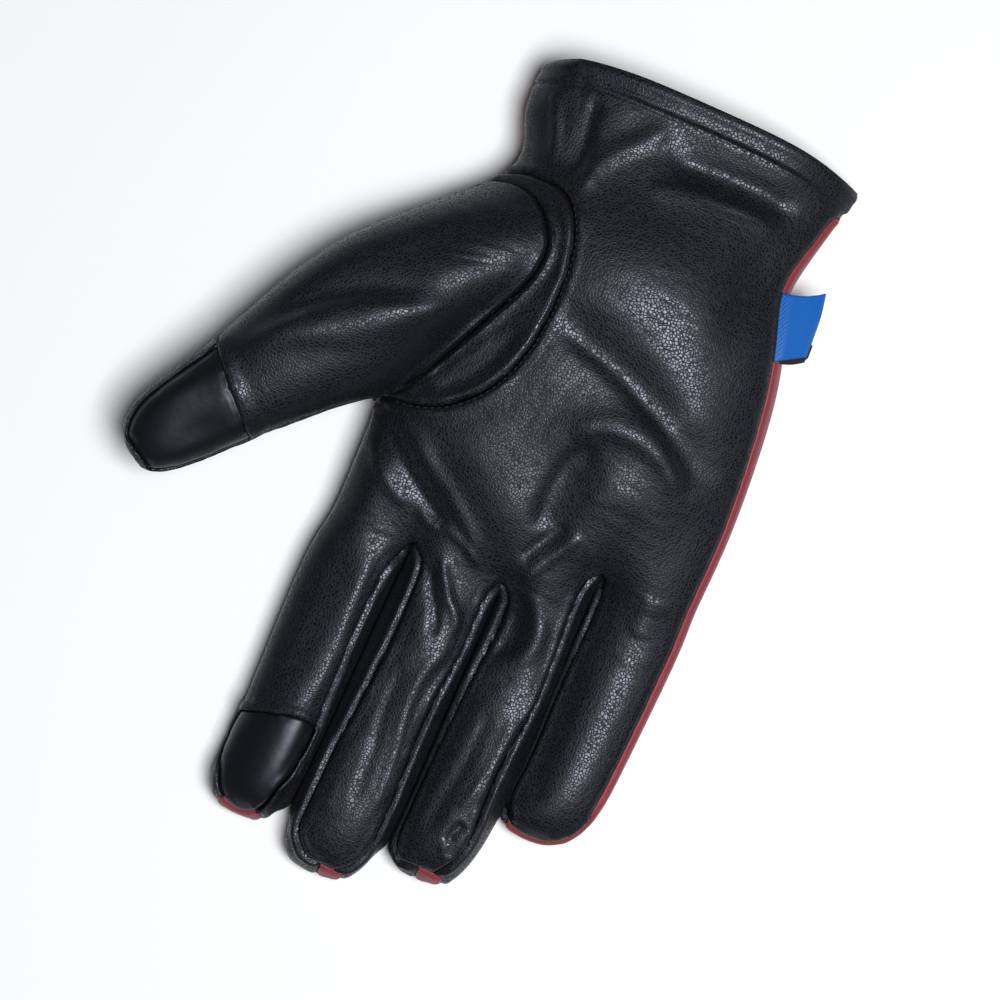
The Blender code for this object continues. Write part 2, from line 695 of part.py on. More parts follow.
def cut_panel(shell, count, panel, collection):
    """One piece of leather: its faces of the skin, the same faces inside, and its cut edge."""
    outer = [
        tuple(polygon.vertices)
        for polygon in shell.polygons
        if polygon.material_index == panel and max(polygon.vertices) < count
    ]
    points = {i: shell.vertices[i].co.copy() for face in outer for i in face}
    inner = {i: shell.vertices[i + count].co.copy() for i in points}
    pairs = boundary_pairs(outer)
    pulls = edge_pull(outer, points, {i for pair in pairs for i in pair})
    for i, pull in pulls.items():
        points[i] += pull
        inner[i] += pull * INNER_GAP_SHARE
    order = {i: number for number, i in enumerate(sorted(points))}
    size = len(order)
    faces = [tuple(order[i] for i in face) for face in outer]
    faces += [tuple(order[i] + size for i in reversed(face)) for face in outer]
    faces += [(order[b], order[a], order[a] + size, order[b] + size) for a, b in pairs]
    mesh = bpy.data.meshes.new(PANELS[panel])
    places = [points[i] for i in sorted(points)] + [inner[i] for i in sorted(points)]
    mesh.from_pydata([tuple(place) for place in places], [], faces)
    finish_piece(mesh, PANELS[panel], panel_material(PANELS[panel]), collection)


def finish_piece(mesh, name, material, collection):
    mesh.materials.append(material)
    mesh.shade_smooth()
    mesh.set_sharp_from_angle(angle=SHARP_ANGLE)
    obj = bpy.data.objects.new(name, mesh)
    collection.objects.link(obj)
    return obj


def make_material(name):
    material = bpy.data.materials.get(name)
    if material is None:
        colour, roughness, metallic = MATERIALS[name]
        material = bpy.data.materials.new(name)
        material.use_nodes = True
        shader = material.node_tree.nodes["Principled BSDF"]
        shader.inputs["Base Color"].default_value = colour
        shader.inputs["Roughness"].default_value = roughness
        shader.inputs["Metallic"].default_value = metallic
    return material


def panel_material(name):
    return make_material(PANEL_MATERIALS.get(name, "black_grain_leather"))


def seam_place(y):
    """The outside of the seam at the little finger's side, at a place along the hand."""
    along = ORIGIN_ALONG - y / HAND_LENGTH
    section = HandSection(along)
    x, z = section.on_side(1, section.seam_right)
    return Vector((x, y, z))


def add_side_tag(collection):
    """The ribbon, folded to a loop and sewn into the side seam below the cuff."""
    top = seam_place(hand_y(TAG_ALONG))
    run = (seam_place(top.y - TAG_WIDTH) - top).normalized()
    out = Vector((-run.y, run.x, 0)).normalized()
    lean = out * math.cos(TAG_LEAN) - run * math.sin(TAG_LEAN)
    root_gap = TAG_THICKNESS / 2 + TAG_CLEARANCE / 2
    loop = TAG_LOOP / 2 - TAG_THICKNESS / 2
    straight = TAG_REACH - loop
    profile = []
    for i in range(5):
        t = i / 4
        profile.append((t * straight, root_gap + (loop - root_gap) * smoothstep(t)))
    half_turn = [math.pi * i / 6 for i in range(1, 6)]
    bend = [(straight + loop * math.sin(a), loop * math.cos(a)) for a in half_turn]
    profile = profile + bend + [(x, -z) for x, z in reversed(profile)]
    start = TAG_CLEARANCE + TAG_THICKNESS / 2
    mesh_bm = bmesh.new()
    rows = []
    for share in (0.0, 0.25, 0.5, 0.75, 1.0):
        root = seam_place(top.y - TAG_WIDTH * share)
        row = [root + lean * (x + start) + Vector((0, 0, z + TAG_LIFT)) for x, z in profile]
        rows.append([mesh_bm.verts.new(place) for place in row])
    for upper, lower in zip(rows, rows[1:]):
        for i in range(len(profile) - 1):
            mesh_bm.faces.new((upper[i], lower[i], lower[i + 1], upper[i + 1]))
    mesh = bpy.data.meshes.new("side_tag")
    mesh_bm.to_mesh(mesh)
    mesh_bm.free()
    tag = finish_piece(mesh, "side_tag", make_material("blue_ribbon"), collection)
    solidify = tag.modifiers.new("Solidify", "SOLIDIFY")
    solidify.thickness = TAG_THICKNESS
    solidify.offset = 0
    solidify.use_even_offset = True


def main():
    clear_scene()
    collection = bpy.data.collections.new("leather_glove")
    bpy.context.scene.collection.children.link(collection)
    skin = Skin()
    hole = thumb_hole_points()
    grid, edge = add_hand(skin, hole)
    add_fingers(skin, grid)
    add_thumb(skin, edge, hole)
    shell, count = leather_shell(smooth_skin(skin))
    for panel in range(len(PANELS)):
        cut_panel(shell, count, panel, collection)
    bpy.data.meshes.remove(shell)
    add_side_tag(collection)


main()
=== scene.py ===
import json
import math

import bmesh
import bpy
import numpy as np
from mathutils import Matrix, Vector, bvhtree, kdtree

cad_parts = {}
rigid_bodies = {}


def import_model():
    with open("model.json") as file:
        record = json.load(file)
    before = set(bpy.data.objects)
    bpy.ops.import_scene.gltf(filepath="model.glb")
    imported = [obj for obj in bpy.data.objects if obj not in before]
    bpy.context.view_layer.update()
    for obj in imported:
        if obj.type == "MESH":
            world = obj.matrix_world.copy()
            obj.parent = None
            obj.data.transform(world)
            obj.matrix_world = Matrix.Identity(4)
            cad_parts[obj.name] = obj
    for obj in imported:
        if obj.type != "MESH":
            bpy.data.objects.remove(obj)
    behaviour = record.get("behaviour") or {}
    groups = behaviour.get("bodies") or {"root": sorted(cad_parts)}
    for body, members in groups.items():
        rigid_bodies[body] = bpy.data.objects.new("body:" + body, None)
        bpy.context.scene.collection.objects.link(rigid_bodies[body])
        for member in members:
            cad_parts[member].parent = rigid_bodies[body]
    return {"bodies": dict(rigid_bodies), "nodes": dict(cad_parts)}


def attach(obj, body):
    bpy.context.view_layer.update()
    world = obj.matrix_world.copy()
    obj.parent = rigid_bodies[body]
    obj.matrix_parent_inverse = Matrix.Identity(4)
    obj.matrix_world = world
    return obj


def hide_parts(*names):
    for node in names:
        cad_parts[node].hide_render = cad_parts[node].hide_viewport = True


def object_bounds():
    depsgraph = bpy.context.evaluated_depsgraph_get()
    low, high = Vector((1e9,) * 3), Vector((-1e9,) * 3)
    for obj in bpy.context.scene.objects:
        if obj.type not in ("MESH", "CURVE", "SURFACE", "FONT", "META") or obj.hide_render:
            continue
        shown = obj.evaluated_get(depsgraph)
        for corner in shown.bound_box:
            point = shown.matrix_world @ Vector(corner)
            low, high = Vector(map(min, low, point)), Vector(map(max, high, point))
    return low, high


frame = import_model()
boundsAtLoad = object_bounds()

mm = 0.001

# The tables below give x and y in mm from this point of the row frame: x to the little finger,
# y to the wrist
tableOrigin = {"x": -8.75, "y": -0.3}

pieceNames = (
    "palm_panel",
    "back_panel",
    "fourchette_index_middle",
    "fourchette_middle_ring",
    "fourchette_ring_little",
    "thumb_keystone",
    "thumb_front",
    "thumb_back",
    "index_touch_patch",
    "thumb_touch_patch",
)
(palm, back, forkIndex, forkMiddle, forkRing,
 keystone, thumbFront, thumbBack, indexPatch, thumbPatch) = range(10)

skinValues = {
    "levels": 3,
    "rays": 13,
    "rayLean": 0.35,
    "weld": 0.62,  # mm between two cut edges that are one seam
    "deepest": 2.7,  # mm through the leather, past which a face is a cut edge
    "deepestOfThumb": 1.7,
    "votes": 2,
    "wall": 1.1,
    "hemWall": 2.1,
    "cuffDepth": 14.0,  # mm of the cuff's edge that may stay open
    "seamPull": 0.10,  # mm that each piece stands back from the seam
}


def mergedCopy(nodeName):
    # The imported mesh has loose triangles, so a copy of it is merged first
    bm = bmesh.new()
    bm.from_mesh(frame["nodes"][nodeName].data)
    bmesh.ops.remove_doubles(bm, verts=bm.verts, dist=1e-6)
    bm.normal_update()
    return bm


def crossings(tree, start, direction):
    # How many times a ray meets the leather, and the depth of the first layer
    count = 0
    places = []
    travelled = 0.0
    while count < 24:
        hit = tree.ray_cast(start + direction * travelled, direction)
        if hit[0] is None:
            break
        travelled += hit[3]
        places.append(travelled)
        travelled += 0.004 * mm
        count += 1
    depth = places[1] - places[0] if count > 1 else 0.0
    return count, depth


def sideOf(face, whole, deepest):
    # From outside, a ray goes through an even number of layers. A cut edge is deep and says nothing
    centre = face.calc_center_median()
    normal = face.normal
    across = normal.orthogonal().normalized()
    other = normal.cross(across)
    depths = []
    votes = 0
    for turn in range(skinValues["rays"]):
        angle = 2 * math.pi * turn / skinValues["rays"]
        lean = 0.0 if turn == 0 else skinValues["rayLean"]
        aside = (across * math.cos(angle) + other * math.sin(angle)) * lean
        count, depth = crossings(whole, centre + normal * 0.03 * mm, (aside - normal).normalized())
        depths.append(depth)
        votes += 1 if count % 4 == 0 else -1
    depths.sort()
    if depths[len(depths) // 2] > deepest * mm:
        return 0
    return 1 if votes > 0 else -1


def outerSide(nodeName, bm, whole):
    # Each face speaks for its corners, and a face of the outer side has outer corners only
    deepest = skinValues["deepestOfThumb" if nodeName.startswith("thumb") else "deepest"]
    sides = {face: sideOf(face, whole, deepest) for face in bm.faces}
    voices = {vert: 0.0 for vert in bm.verts}
    for face, side in sides.items():
        for vert in face.verts:
            voices[vert] += side * face.calc_area()
    for _ in range(skinValues["votes"]):
        agreed = {face: all(voices[v] > 0 for v in face.verts) for face in bm.faces}
        against = {face: all(voices[v] <= 0 for v in face.verts) for face in bm.faces}
        voices = {vert: 0.0 for vert in bm.verts}
        for face in bm.faces:
            side = 1 if agreed[face] else -1 if against[face] else 0
            for vert in face.verts:
                voices[vert] += side * face.calc_area()
    outer = [face for face in bm.faces if all(voices[v] > 0 for v in face.verts)]
    inner = sum(1 for face in bm.faces if all(voices[v] <= 0 for v in face.verts))
    print("outer, inner, all faces of", nodeName, len(outer), inner, len(bm.faces))
    kept = set(outer)
    bmesh.ops.delete(bm, geom=[f for f in bm.faces if f not in kept], context="FACES")
    bmesh.ops.join_triangles(
        bm,
        faces=bm.faces,
        angle_face_threshold=math.radians(50),
        angle_shape_threshold=math.radians(60),
    )
    bm.verts.index_update()
    verts = [vert.co.copy() / mm for vert in bm.verts]
    faces = [[vert.index for vert in face.verts] for face in bm.faces]
    return verts, faces


def weldedSkin():
    # One mesh of all the outer sides, sewn together where their cut edges meet
    verts = []
    faces = []
    tags = []
    owner = []
    copies = [mergedCopy(name) for name in pieceNames]
    glove = bmesh.new()
    for name in pieceNames:
        glove.from_mesh(frame["nodes"][name].data)
    whole = bvhtree.BVHTree.FromBMesh(glove)
    glove.free()
    for tag, name in enumerate(pieceNames):
        pieceVerts, pieceFaces = outerSide(name, copies[tag], whole)
        copies[tag].free()
        base = len(verts)
        verts += pieceVerts
        owner += [tag] * len(pieceVerts)
        faces += [[base + i for i in face] for face in pieceFaces]
        tags += [tag] * len(pieceFaces)
    used = {}
    for face in faces:
        for a, b in zip(face, face[1:] + face[:1]):
            key = (min(a, b), max(a, b))
            used[key] = used.get(key, 0) + 1
    edgeVerts = sorted({i for key, count in used.items() if count == 1 for i in key})
    tree = kdtree.KDTree(len(edgeVerts))
    for i in edgeVerts:
        tree.insert(verts[i], i)
    tree.balance()
    parent = list(range(len(verts)))

    def root(i):
        while parent[i] != i:
            i = parent[i]
        return i

    for i in edgeVerts:
        for _, j, _ in tree.find_range(verts[i], skinValues["weld"]):
            if owner[j] != owner[i]:
                parent[root(i)] = root(j)
    members = {}
    for i in range(len(verts)):
        members.setdefault(root(i), []).append(i)
    order = {}
    places = []
    for rootIndex in sorted(members):
        group = members[rootIndex]
        for i in group:
            order[i] = len(places)
        places.append(sum((verts[i] for i in group), Vector()) / len(group))
    mesh = bpy.data.meshes.new("skin")
    mesh.from_pydata([tuple(p) for p in places], [], [[order[i] for i in f] for f in faces])
    for name in pieceNames:
        mesh.materials.append(bpy.data.materials.new(name))
    mesh.polygons.foreach_set("material_index", tags)
    mesh.update()
    closeSkin(mesh)
    return mesh


def closeSkin(mesh):
    # Takes off strips of cut edge that were read as outer side, and fills what is missing
    bm = bmesh.new()
    bm.from_mesh(mesh)
    cuffLine = max(v.co.y for v in bm.verts) - skinValues["cuffDepth"]
    removed = 0
    while True:
        flaps = [
            face
            for face in bm.faces
            if sum(1 for e in face.edges if len(e.link_faces) == 1) > 1
            and min(v.co.y for v in face.verts) < cuffLine
        ]
        if not flaps:
            break
        removed += len(flaps)
        bmesh.ops.delete(bm, geom=flaps, context="FACES")
    holes = [
        e for e in bm.edges if len(e.link_faces) == 1 and min(v.co.y for v in e.verts) < cuffLine
    ]
    filled = bmesh.ops.holes_fill(bm, edges=holes, sides=12)["faces"]
    for face in filled:
        near = [o.material_index for e in face.edges for o in e.link_faces if o not in filled]
        face.material_index = max(set(near), key=near.count)
    bmesh.ops.recalc_face_normals(bm, faces=bm.faces)
    openEdges = [e for e in bm.edges if len(e.link_faces) == 1]
    print("skin:", len(bm.faces), "faces,", len(openEdges), "open edges,", removed, "flaps taken off")
    bm.to_mesh(mesh)
    bm.free()
    mesh.update()


def finerSkin(mesh):
    skin = bpy.data.objects.new("skin", mesh)
    bpy.context.collection.objects.link(skin)
    bpy.ops.object.select_all(action="DESELECT")
    bpy.context.view_layer.objects.active = skin
    skin.select_set(True)
    finer = skin.modifiers.new("finer", "SUBSURF")
    finer.levels = skinValues["levels"]
    finer.render_levels = skinValues["levels"]
    bpy.ops.object.modifier_apply(modifier="finer")
    count = len(skin.data.vertices)
    places = np.empty(count * 3)
    skin.data.vertices.foreach_get("co", places)
    corners = np.empty(len(skin.data.loops), int)
    skin.data.loops.foreach_get("vertex_index", corners)
    tags = np.empty(len(skin.data.polygons), int)
    skin.data.polygons.foreach_get("material_index", tags)
    bpy.data.objects.remove(skin)
    return places.reshape(-1, 3), corners.reshape(-1, 4), tags


def vertexNormals(places, quads):
    flat = np.cross(places[quads[:, 2]] - places[quads[:, 0]], places[quads[:, 3]] - places[quads[:, 1]])
    normals = np.zeros_like(places)
    for corner in range(4):
        np.add.at(normals, quads[:, corner], flat)
    return normals / np.maximum(np.linalg.norm(normals, axis=1, keepdims=True), 1e-12)


def seamEdges(quads, tags):
    # Edges between two pieces: their ends and the two pieces
    ends = np.concatenate([quads[:, [i, (i + 1) % 4]] for i in range(4)])
    ends.sort(axis=1)
    owners = np.tile(tags, 4)
    order = np.lexsort((ends[:, 1], ends[:, 0]))
    ends = ends[order]
    owners = owners[order]
    same = np.nonzero((ends[1:] == ends[:-1]).all(axis=1) & (owners[1:] != owners[:-1]))[0]
    alone = np.ones(len(ends), bool)
    twin = (ends[1:] == ends[:-1]).all(axis=1)
    alone[1:][twin] = False
    alone[:-1][twin] = False
    pairs = np.sort(np.stack([owners[same], owners[same + 1]], axis=1), axis=1)
    return ends[same], pairs, ends[alone]


def smoothStep(value, start, end):
    share = np.clip((value - start) / (end - start), 0.0, 1.0)
    return share * share * (3 - 2 * share)


def latticeNoise(points, seed):
    # Smooth noise from -1 to 1, the same on each run
    base = np.floor(points).astype(np.int64)
    part = points - base
    part = part * part * (3 - 2 * part)
    total = np.zeros(len(points))
    for corner in range(8):
        offset = np.array([corner & 1, corner >> 1 & 1, corner >> 2 & 1])
        cell = base + offset
        mixed = cell[:, 0] * 73856093 ^ cell[:, 1] * 19349663 ^ cell[:, 2] * 83492791 ^ seed * 265443576
        mixed = (mixed ^ mixed >> 13) * 1274126177 & 0xFFFFFFFF
        mixed = (mixed ^ mixed >> 16) * 73244475 & 0xFFFFFFFF
        value = (mixed >> 7 & 0xFFFF) / 32767.5 - 1
        total += value * np.where(offset, part, 1 - part).prod(axis=1)
    return total


def curvePoints(path, steps=6):
    # A smooth line through the points of a table
    points = [np.array(p, float) for p in path]
    points = [2 * points[0] - points[1]] + points + [2 * points[-1] - points[-2]]
    out = []
    for a, b, c, d in zip(points, points[1:], points[2:], points[3:]):
        for step in range(steps):
            t = step / steps
            out.append(0.5 * (2 * b + (c - a) * t + (2 * a - 5 * b + 4 * c - d) * t * t
                              + (3 * b - a - 3 * c + d) * t ** 3))
    out.append(points[-2])
    return np.array(out)


def alongCurve(flat, path):
    # Distance of each point from the curve, positive on its left, and its share of the length
    line = curvePoints(path)
    spans = np.linalg.norm(np.diff(line, axis=0), axis=1)
    reached = np.concatenate([[0], np.cumsum(spans)])
    nearest = np.full(len(flat), 1e9)
    side = np.zeros(len(flat))
    share = np.zeros(len(flat))
    for i in range(len(line) - 1):
        way = line[i + 1] - line[i]
        fromStart = flat - line[i]
        t = np.clip(fromStart @ way / max(way @ way, 1e-9), 0, 1)
        aside = fromStart - t[:, None] * way
        distance = np.hypot(aside[:, 0], aside[:, 1])
        closer = distance < nearest
        nearest[closer] = distance[closer]
        side[closer] = (way[0] * fromStart[:, 1] - way[1] * fromStart[:, 0])[closer]
        share[closer] = ((reached[i] + t * spans[i]) / reached[-1])[closer]
    return nearest * np.where(side < 0, -1, 1), share


# Outlines of the pieces where the solid's coarse faces don't follow them: seen from the palm side,
# faces of the first pieces that lie inside become the second one's
redrawTable = (
    {"from": (palm, indexPatch), "to": forkIndex, "facing": -0.9, "outline": (
        (-18.5, -39.6), (-21.5, -42), (-24, -47), (-24.7, -60), (-25, -70), (-24.6, -85), (-24, -97),
        (-24, -106),
        (-25, -115), (-27.5, -121), (-31, -126), (-35, -129.4), (-30, -142), (-8, -142), (-5, -136.3),
        (-9, -136.2), (-13, -134), (-17, -129), (-19, -122), (-18.8, -115), (-17.5, -105), (-16, -90),
        (-15, -75), (-14.6, -60), (-14.7, -48), (-16, -42))},
    {"from": (palm,), "to": forkMiddle, "facing": -0.9, "outline": (
        (9, -39.6), (6.6, -41.5), (5.6, -46), (6, -55), (6.4, -62), (5, -72), (4.2, -80), (4.6, -95),
        (5.4, -110),
        (5.4, -120), (4.6, -127), (2, -132), (-2, -135.2), (-5, -136.3), (-5, -142), (24, -142), (21, -126),
        (17, -126.6), (13, -125), (10.7, -121), (10, -115), (10.4, -100), (10.8, -75), (11.4, -62),
        (12.3, -55),
        (12.4, -48), (11.5, -42))},
    {"from": (palm,), "to": forkRing, "facing": -0.9, "outline": (
        (33, -25.6), (30.8, -28), (30, -34), (30.8, -45), (31.8, -55), (32.4, -64), (31.4, -73), (30, -85),
        (29.6, -95), (30.4, -105), (30.6, -112), (28.6, -119), (25, -124), (21, -126), (21, -142),
        (43, -142),
        (43, -103), (39, -102), (36.2, -99.5), (34.9, -95), (34.9, -85), (35, -70), (35.7, -55), (36, -40),
        (35.5, -29))},
    {"from": (forkIndex,), "to": palm, "facing": 0.35, "outline": (
        (-50, -38), (-20, -38), (-21.5, -42), (-24, -47), (-24.7, -60), (-25, -70), (-24.6, -85),
        (-24, -98), (-50, -98))},
    {"from": (forkIndex,), "to": indexPatch, "facing": 0.35, "outline": (
        (-50, -98), (-24, -98), (-24, -106), (-25, -115), (-27.5, -121), (-31, -126), (-35, -129.4),
        (-50, -130))},
    {"from": (forkMiddle,), "to": palm, "facing": 0.35, "outline": (
        (-10, -38), (8, -38), (6.6, -41.5), (5.6, -46), (6, -55), (6.4, -62), (5, -72), (4.2, -80),
        (4.6, -95),
        (5.4, -110), (5.4, -120), (4.6, -127), (2, -132), (-2, -135.2), (-10, -136))},
    {"from": (forkMiddle,), "to": palm, "facing": 0.35, "outline": (
        (25, -38), (10, -38), (11.5, -42), (12.4, -48), (12.3, -55), (11.4, -62), (10.8, -75), (10.4, -100),
        (10, -115), (10.7, -121), (13, -125), (17, -126.6), (25, -126))},
    {"from": (forkRing,), "to": palm, "facing": 0.35, "outline": (
        (15, -24), (32, -24), (30.8, -28), (30, -34), (30.8, -45), (31.8, -55), (32.4, -64), (31.4, -73),
        (30, -85),
        (29.6, -95), (30.4, -105), (30.6, -112), (28.6, -119), (25, -124), (15, -126))},
    {"from": (forkRing,), "to": palm, "facing": 0.35, "outline": (
        (50, -24), (34, -24), (35.5, -29), (36, -40), (35.7, -55), (35, -70), (34.9, -85), (34.9, -95),
        (36.2, -99.5), (39, -102), (50, -103))},
    # The leather laps the index patch in an arc
    {"from": (palm,), "to": indexPatch, "facing": 0.1, "outline": (
        (-48, -104), (-42, -101.6), (-35, -99.4), (-30, -98.5), (-24, -98.2), (-24, -120), (-48, -120))},
    {"from": (indexPatch,), "to": palm, "facing": -0.2, "outline": (
        (-52, -105), (-46, -103.5), (-42, -101.6), (-35, -99.4), (-30, -98.5), (-22, -98.2), (-22, -90),
        (-52, -90))},
    {"from": (palm, forkIndex, back), "to": indexPatch, "facing": -0.1, "outline": (
        (-47.2, -104), (-47, -114), (-45.6, -121), (-43.4, -126), (-40, -129.4), (-36, -130.8), (-32, -130),
        (-29, -127.5), (-27, -122), (-27, -104))},
    {"from": (back,), "to": palm, "facing": -0.1, "outline": (
        (36, -98), (37, -100.6), (40, -102.8), (44, -103.9), (50, -103.4), (55, -100.8), (58.6, -96.6),
        (60.6, -91), (55, -88), (38, -92))},
    # The red back shows as an arc at the index tip and as a small triangle at the middle and ring tips
    {"from": (back,), "to": forkIndex, "facing": -0.35, "outline": (
        (-24, -122), (-24, -142), (-7, -142), (-7, -122))},
    {"from": (back,), "to": forkMiddle, "facing": -0.35, "outline": (
        (2.5, -122), (2.5, -142), (20, -142), (20, -122))},
    {"from": (back,), "to": forkRing, "facing": -0.35, "outline": (
        (28, -115), (28, -142), (43, -142), (43, -99))},
    # Keystone
    {"from": (palm,), "to": keystone, "facing": 0.1, "outline": (
        (-25, 73), (-19, 70.5), (-15.5, 66), (-12.5, 59), (-10.8, 50), (-10.5, 38), (-11.8, 27),
        (-14.6, 17),
        (-19.5, 9), (-27, 2), (-35, -1.6), (-44, -3), (-40, 10), (-30, 60))},
    {"from": (keystone,), "to": palm, "facing": 0.1, "outline": (
        (-25, 78), (-25, 73.4), (-19, 70.5), (-15.5, 66), (-12.5, 59), (-10.8, 50), (-10.5, 38),
        (-11.8, 27),
        (-14.6, 17), (-19.5, 9), (-27, 2), (-35, -1.6), (-46, -3.2), (-46, -12), (0, -12), (0, 78))},
    # The palm reaches over the hem's corner
    {"from": (back,), "to": palm, "facing": -0.2, "outline": ((50, 98), (50, 115), (60, 115), (60, 98))},
)
redrawValues = {"island": 260, "rounds": 30, "rings": 4, "seamStep": 0.5, "ringStep": 0.4}


def insideOutline(flat, outline):
    inside = np.zeros(len(flat), bool)
    points = list(outline)
    for (x0, y0), (x1, y1) in zip(points, points[1:] + points[:1]):
        if y0 == y1:
            continue
        crosses = (flat[:, 1] > y0) != (flat[:, 1] > y1)
        at = x0 + (flat[:, 1] - y0) * (x1 - x0) / (y1 - y0)
        inside ^= crosses & (flat[:, 0] < at)
    return inside


def redrawPieces(places, quads, tags):
    centres = places[quads].mean(axis=1)
    facing = np.cross(places[quads[:, 2]] - places[quads[:, 0]], places[quads[:, 3]] - places[quads[:, 1]])
    facing = facing[:, 2] / np.linalg.norm(facing, axis=1)
    flat = centres[:, :2] - np.array([tableOrigin["x"], tableOrigin["y"]])
    tags = tags.copy()
    for row in redrawTable:
        chosen = np.isin(tags, row["from"]) & (facing > row["facing"]) & insideOutline(flat, row["outline"])
        tags[chosen] = row["to"]
    return withoutIslands(quads, tags)


def withoutIslands(quads, tags):
    # A small patch of a piece away from the rest of it joins the piece round it
    ends = np.sort(np.concatenate([quads[:, [i, (i + 1) % 4]] for i in range(4)]), axis=1)
    owners = np.tile(np.arange(len(quads)), 4)
    order = np.lexsort((ends[:, 1], ends[:, 0]))
    ends = ends[order]
    owners = owners[order]
    twin = np.nonzero((ends[1:] == ends[:-1]).all(axis=1))[0]
    neighbours = [[] for _ in range(len(quads))]
    for a, b in zip(owners[twin].tolist(), owners[twin + 1].tolist()):
        neighbours[a].append(b)
        neighbours[b].append(a)
    tagList = tags.tolist()
    seen = [False] * len(quads)
    for start in range(len(quads)):
        if seen[start]:
            continue
        seen[start] = True
        group = [start]
        around = []
        for face in group:
            for other in neighbours[face]:
                if tagList[other] != tagList[face]:
                    around.append(tagList[other])
                elif not seen[other]:
                    seen[other] = True
                    group.append(other)
        if len(group) < redrawValues["island"] and around:
            joined = max(sorted(set(around)), key=around.count)
            for face in group:
                tagList[face] = joined
    return np.array(tagList)


def relaxSeams(places, quads, tags):
    # Slides the points in the surface until the seams run smoothly
    ends, _, openOnes = seamEdges(quads, tags)
    ends = np.unique(ends, axis=0)
    count = len(places)
    onSeam = np.zeros(count, int)
    np.add.at(onSeam, ends.ravel(), 1)
    fixed = np.zeros(count, bool)
    fixed[openOnes.ravel()] = True
    edges = np.unique(np.sort(np.concatenate([quads[:, [i, (i + 1) % 4]] for i in range(4)]), axis=1), axis=0)
    near = onSeam > 0
    for _ in range(redrawValues["rings"]):
        grown = near.copy()
        grown[edges[near[edges[:, 0]], 1]] = True
        grown[edges[near[edges[:, 1]], 0]] = True
        near = grown
    edges = edges[near[edges[:, 0]] & near[edges[:, 1]]]
    degree = np.zeros(count)
    np.add.at(degree, edges.ravel(), 1)
    inRing = near & (onSeam == 0) & ~fixed & (degree > 2)
    slides = (onSeam == 2) & ~fixed
    for turn in range(redrawValues["rounds"]):
        normals = vertexNormals(places, quads)
        for chosen, links, degrees, step in (
            (slides, ends, onSeam, redrawValues["seamStep"]),
            (inRing, edges, degree, redrawValues["ringStep"]),
        ):
            total = np.zeros_like(places)
            np.add.at(total, links[:, 0], places[links[:, 1]])
            np.add.at(total, links[:, 1], places[links[:, 0]])
            move = total / np.maximum(degrees, 1)[:, None] - places
            move -= normals * (move * normals).sum(axis=1, keepdims=True)
            places = places + np.where(chosen[:, None], move * step, 0)
    return places


basePlaces, quads, quadTags = finerSkin(weldedSkin())
quadTags = redrawPieces(basePlaces, quads, quadTags)
basePlaces = relaxSeams(basePlaces, quads, quadTags)
print("finer skin:", len(quads), "faces")

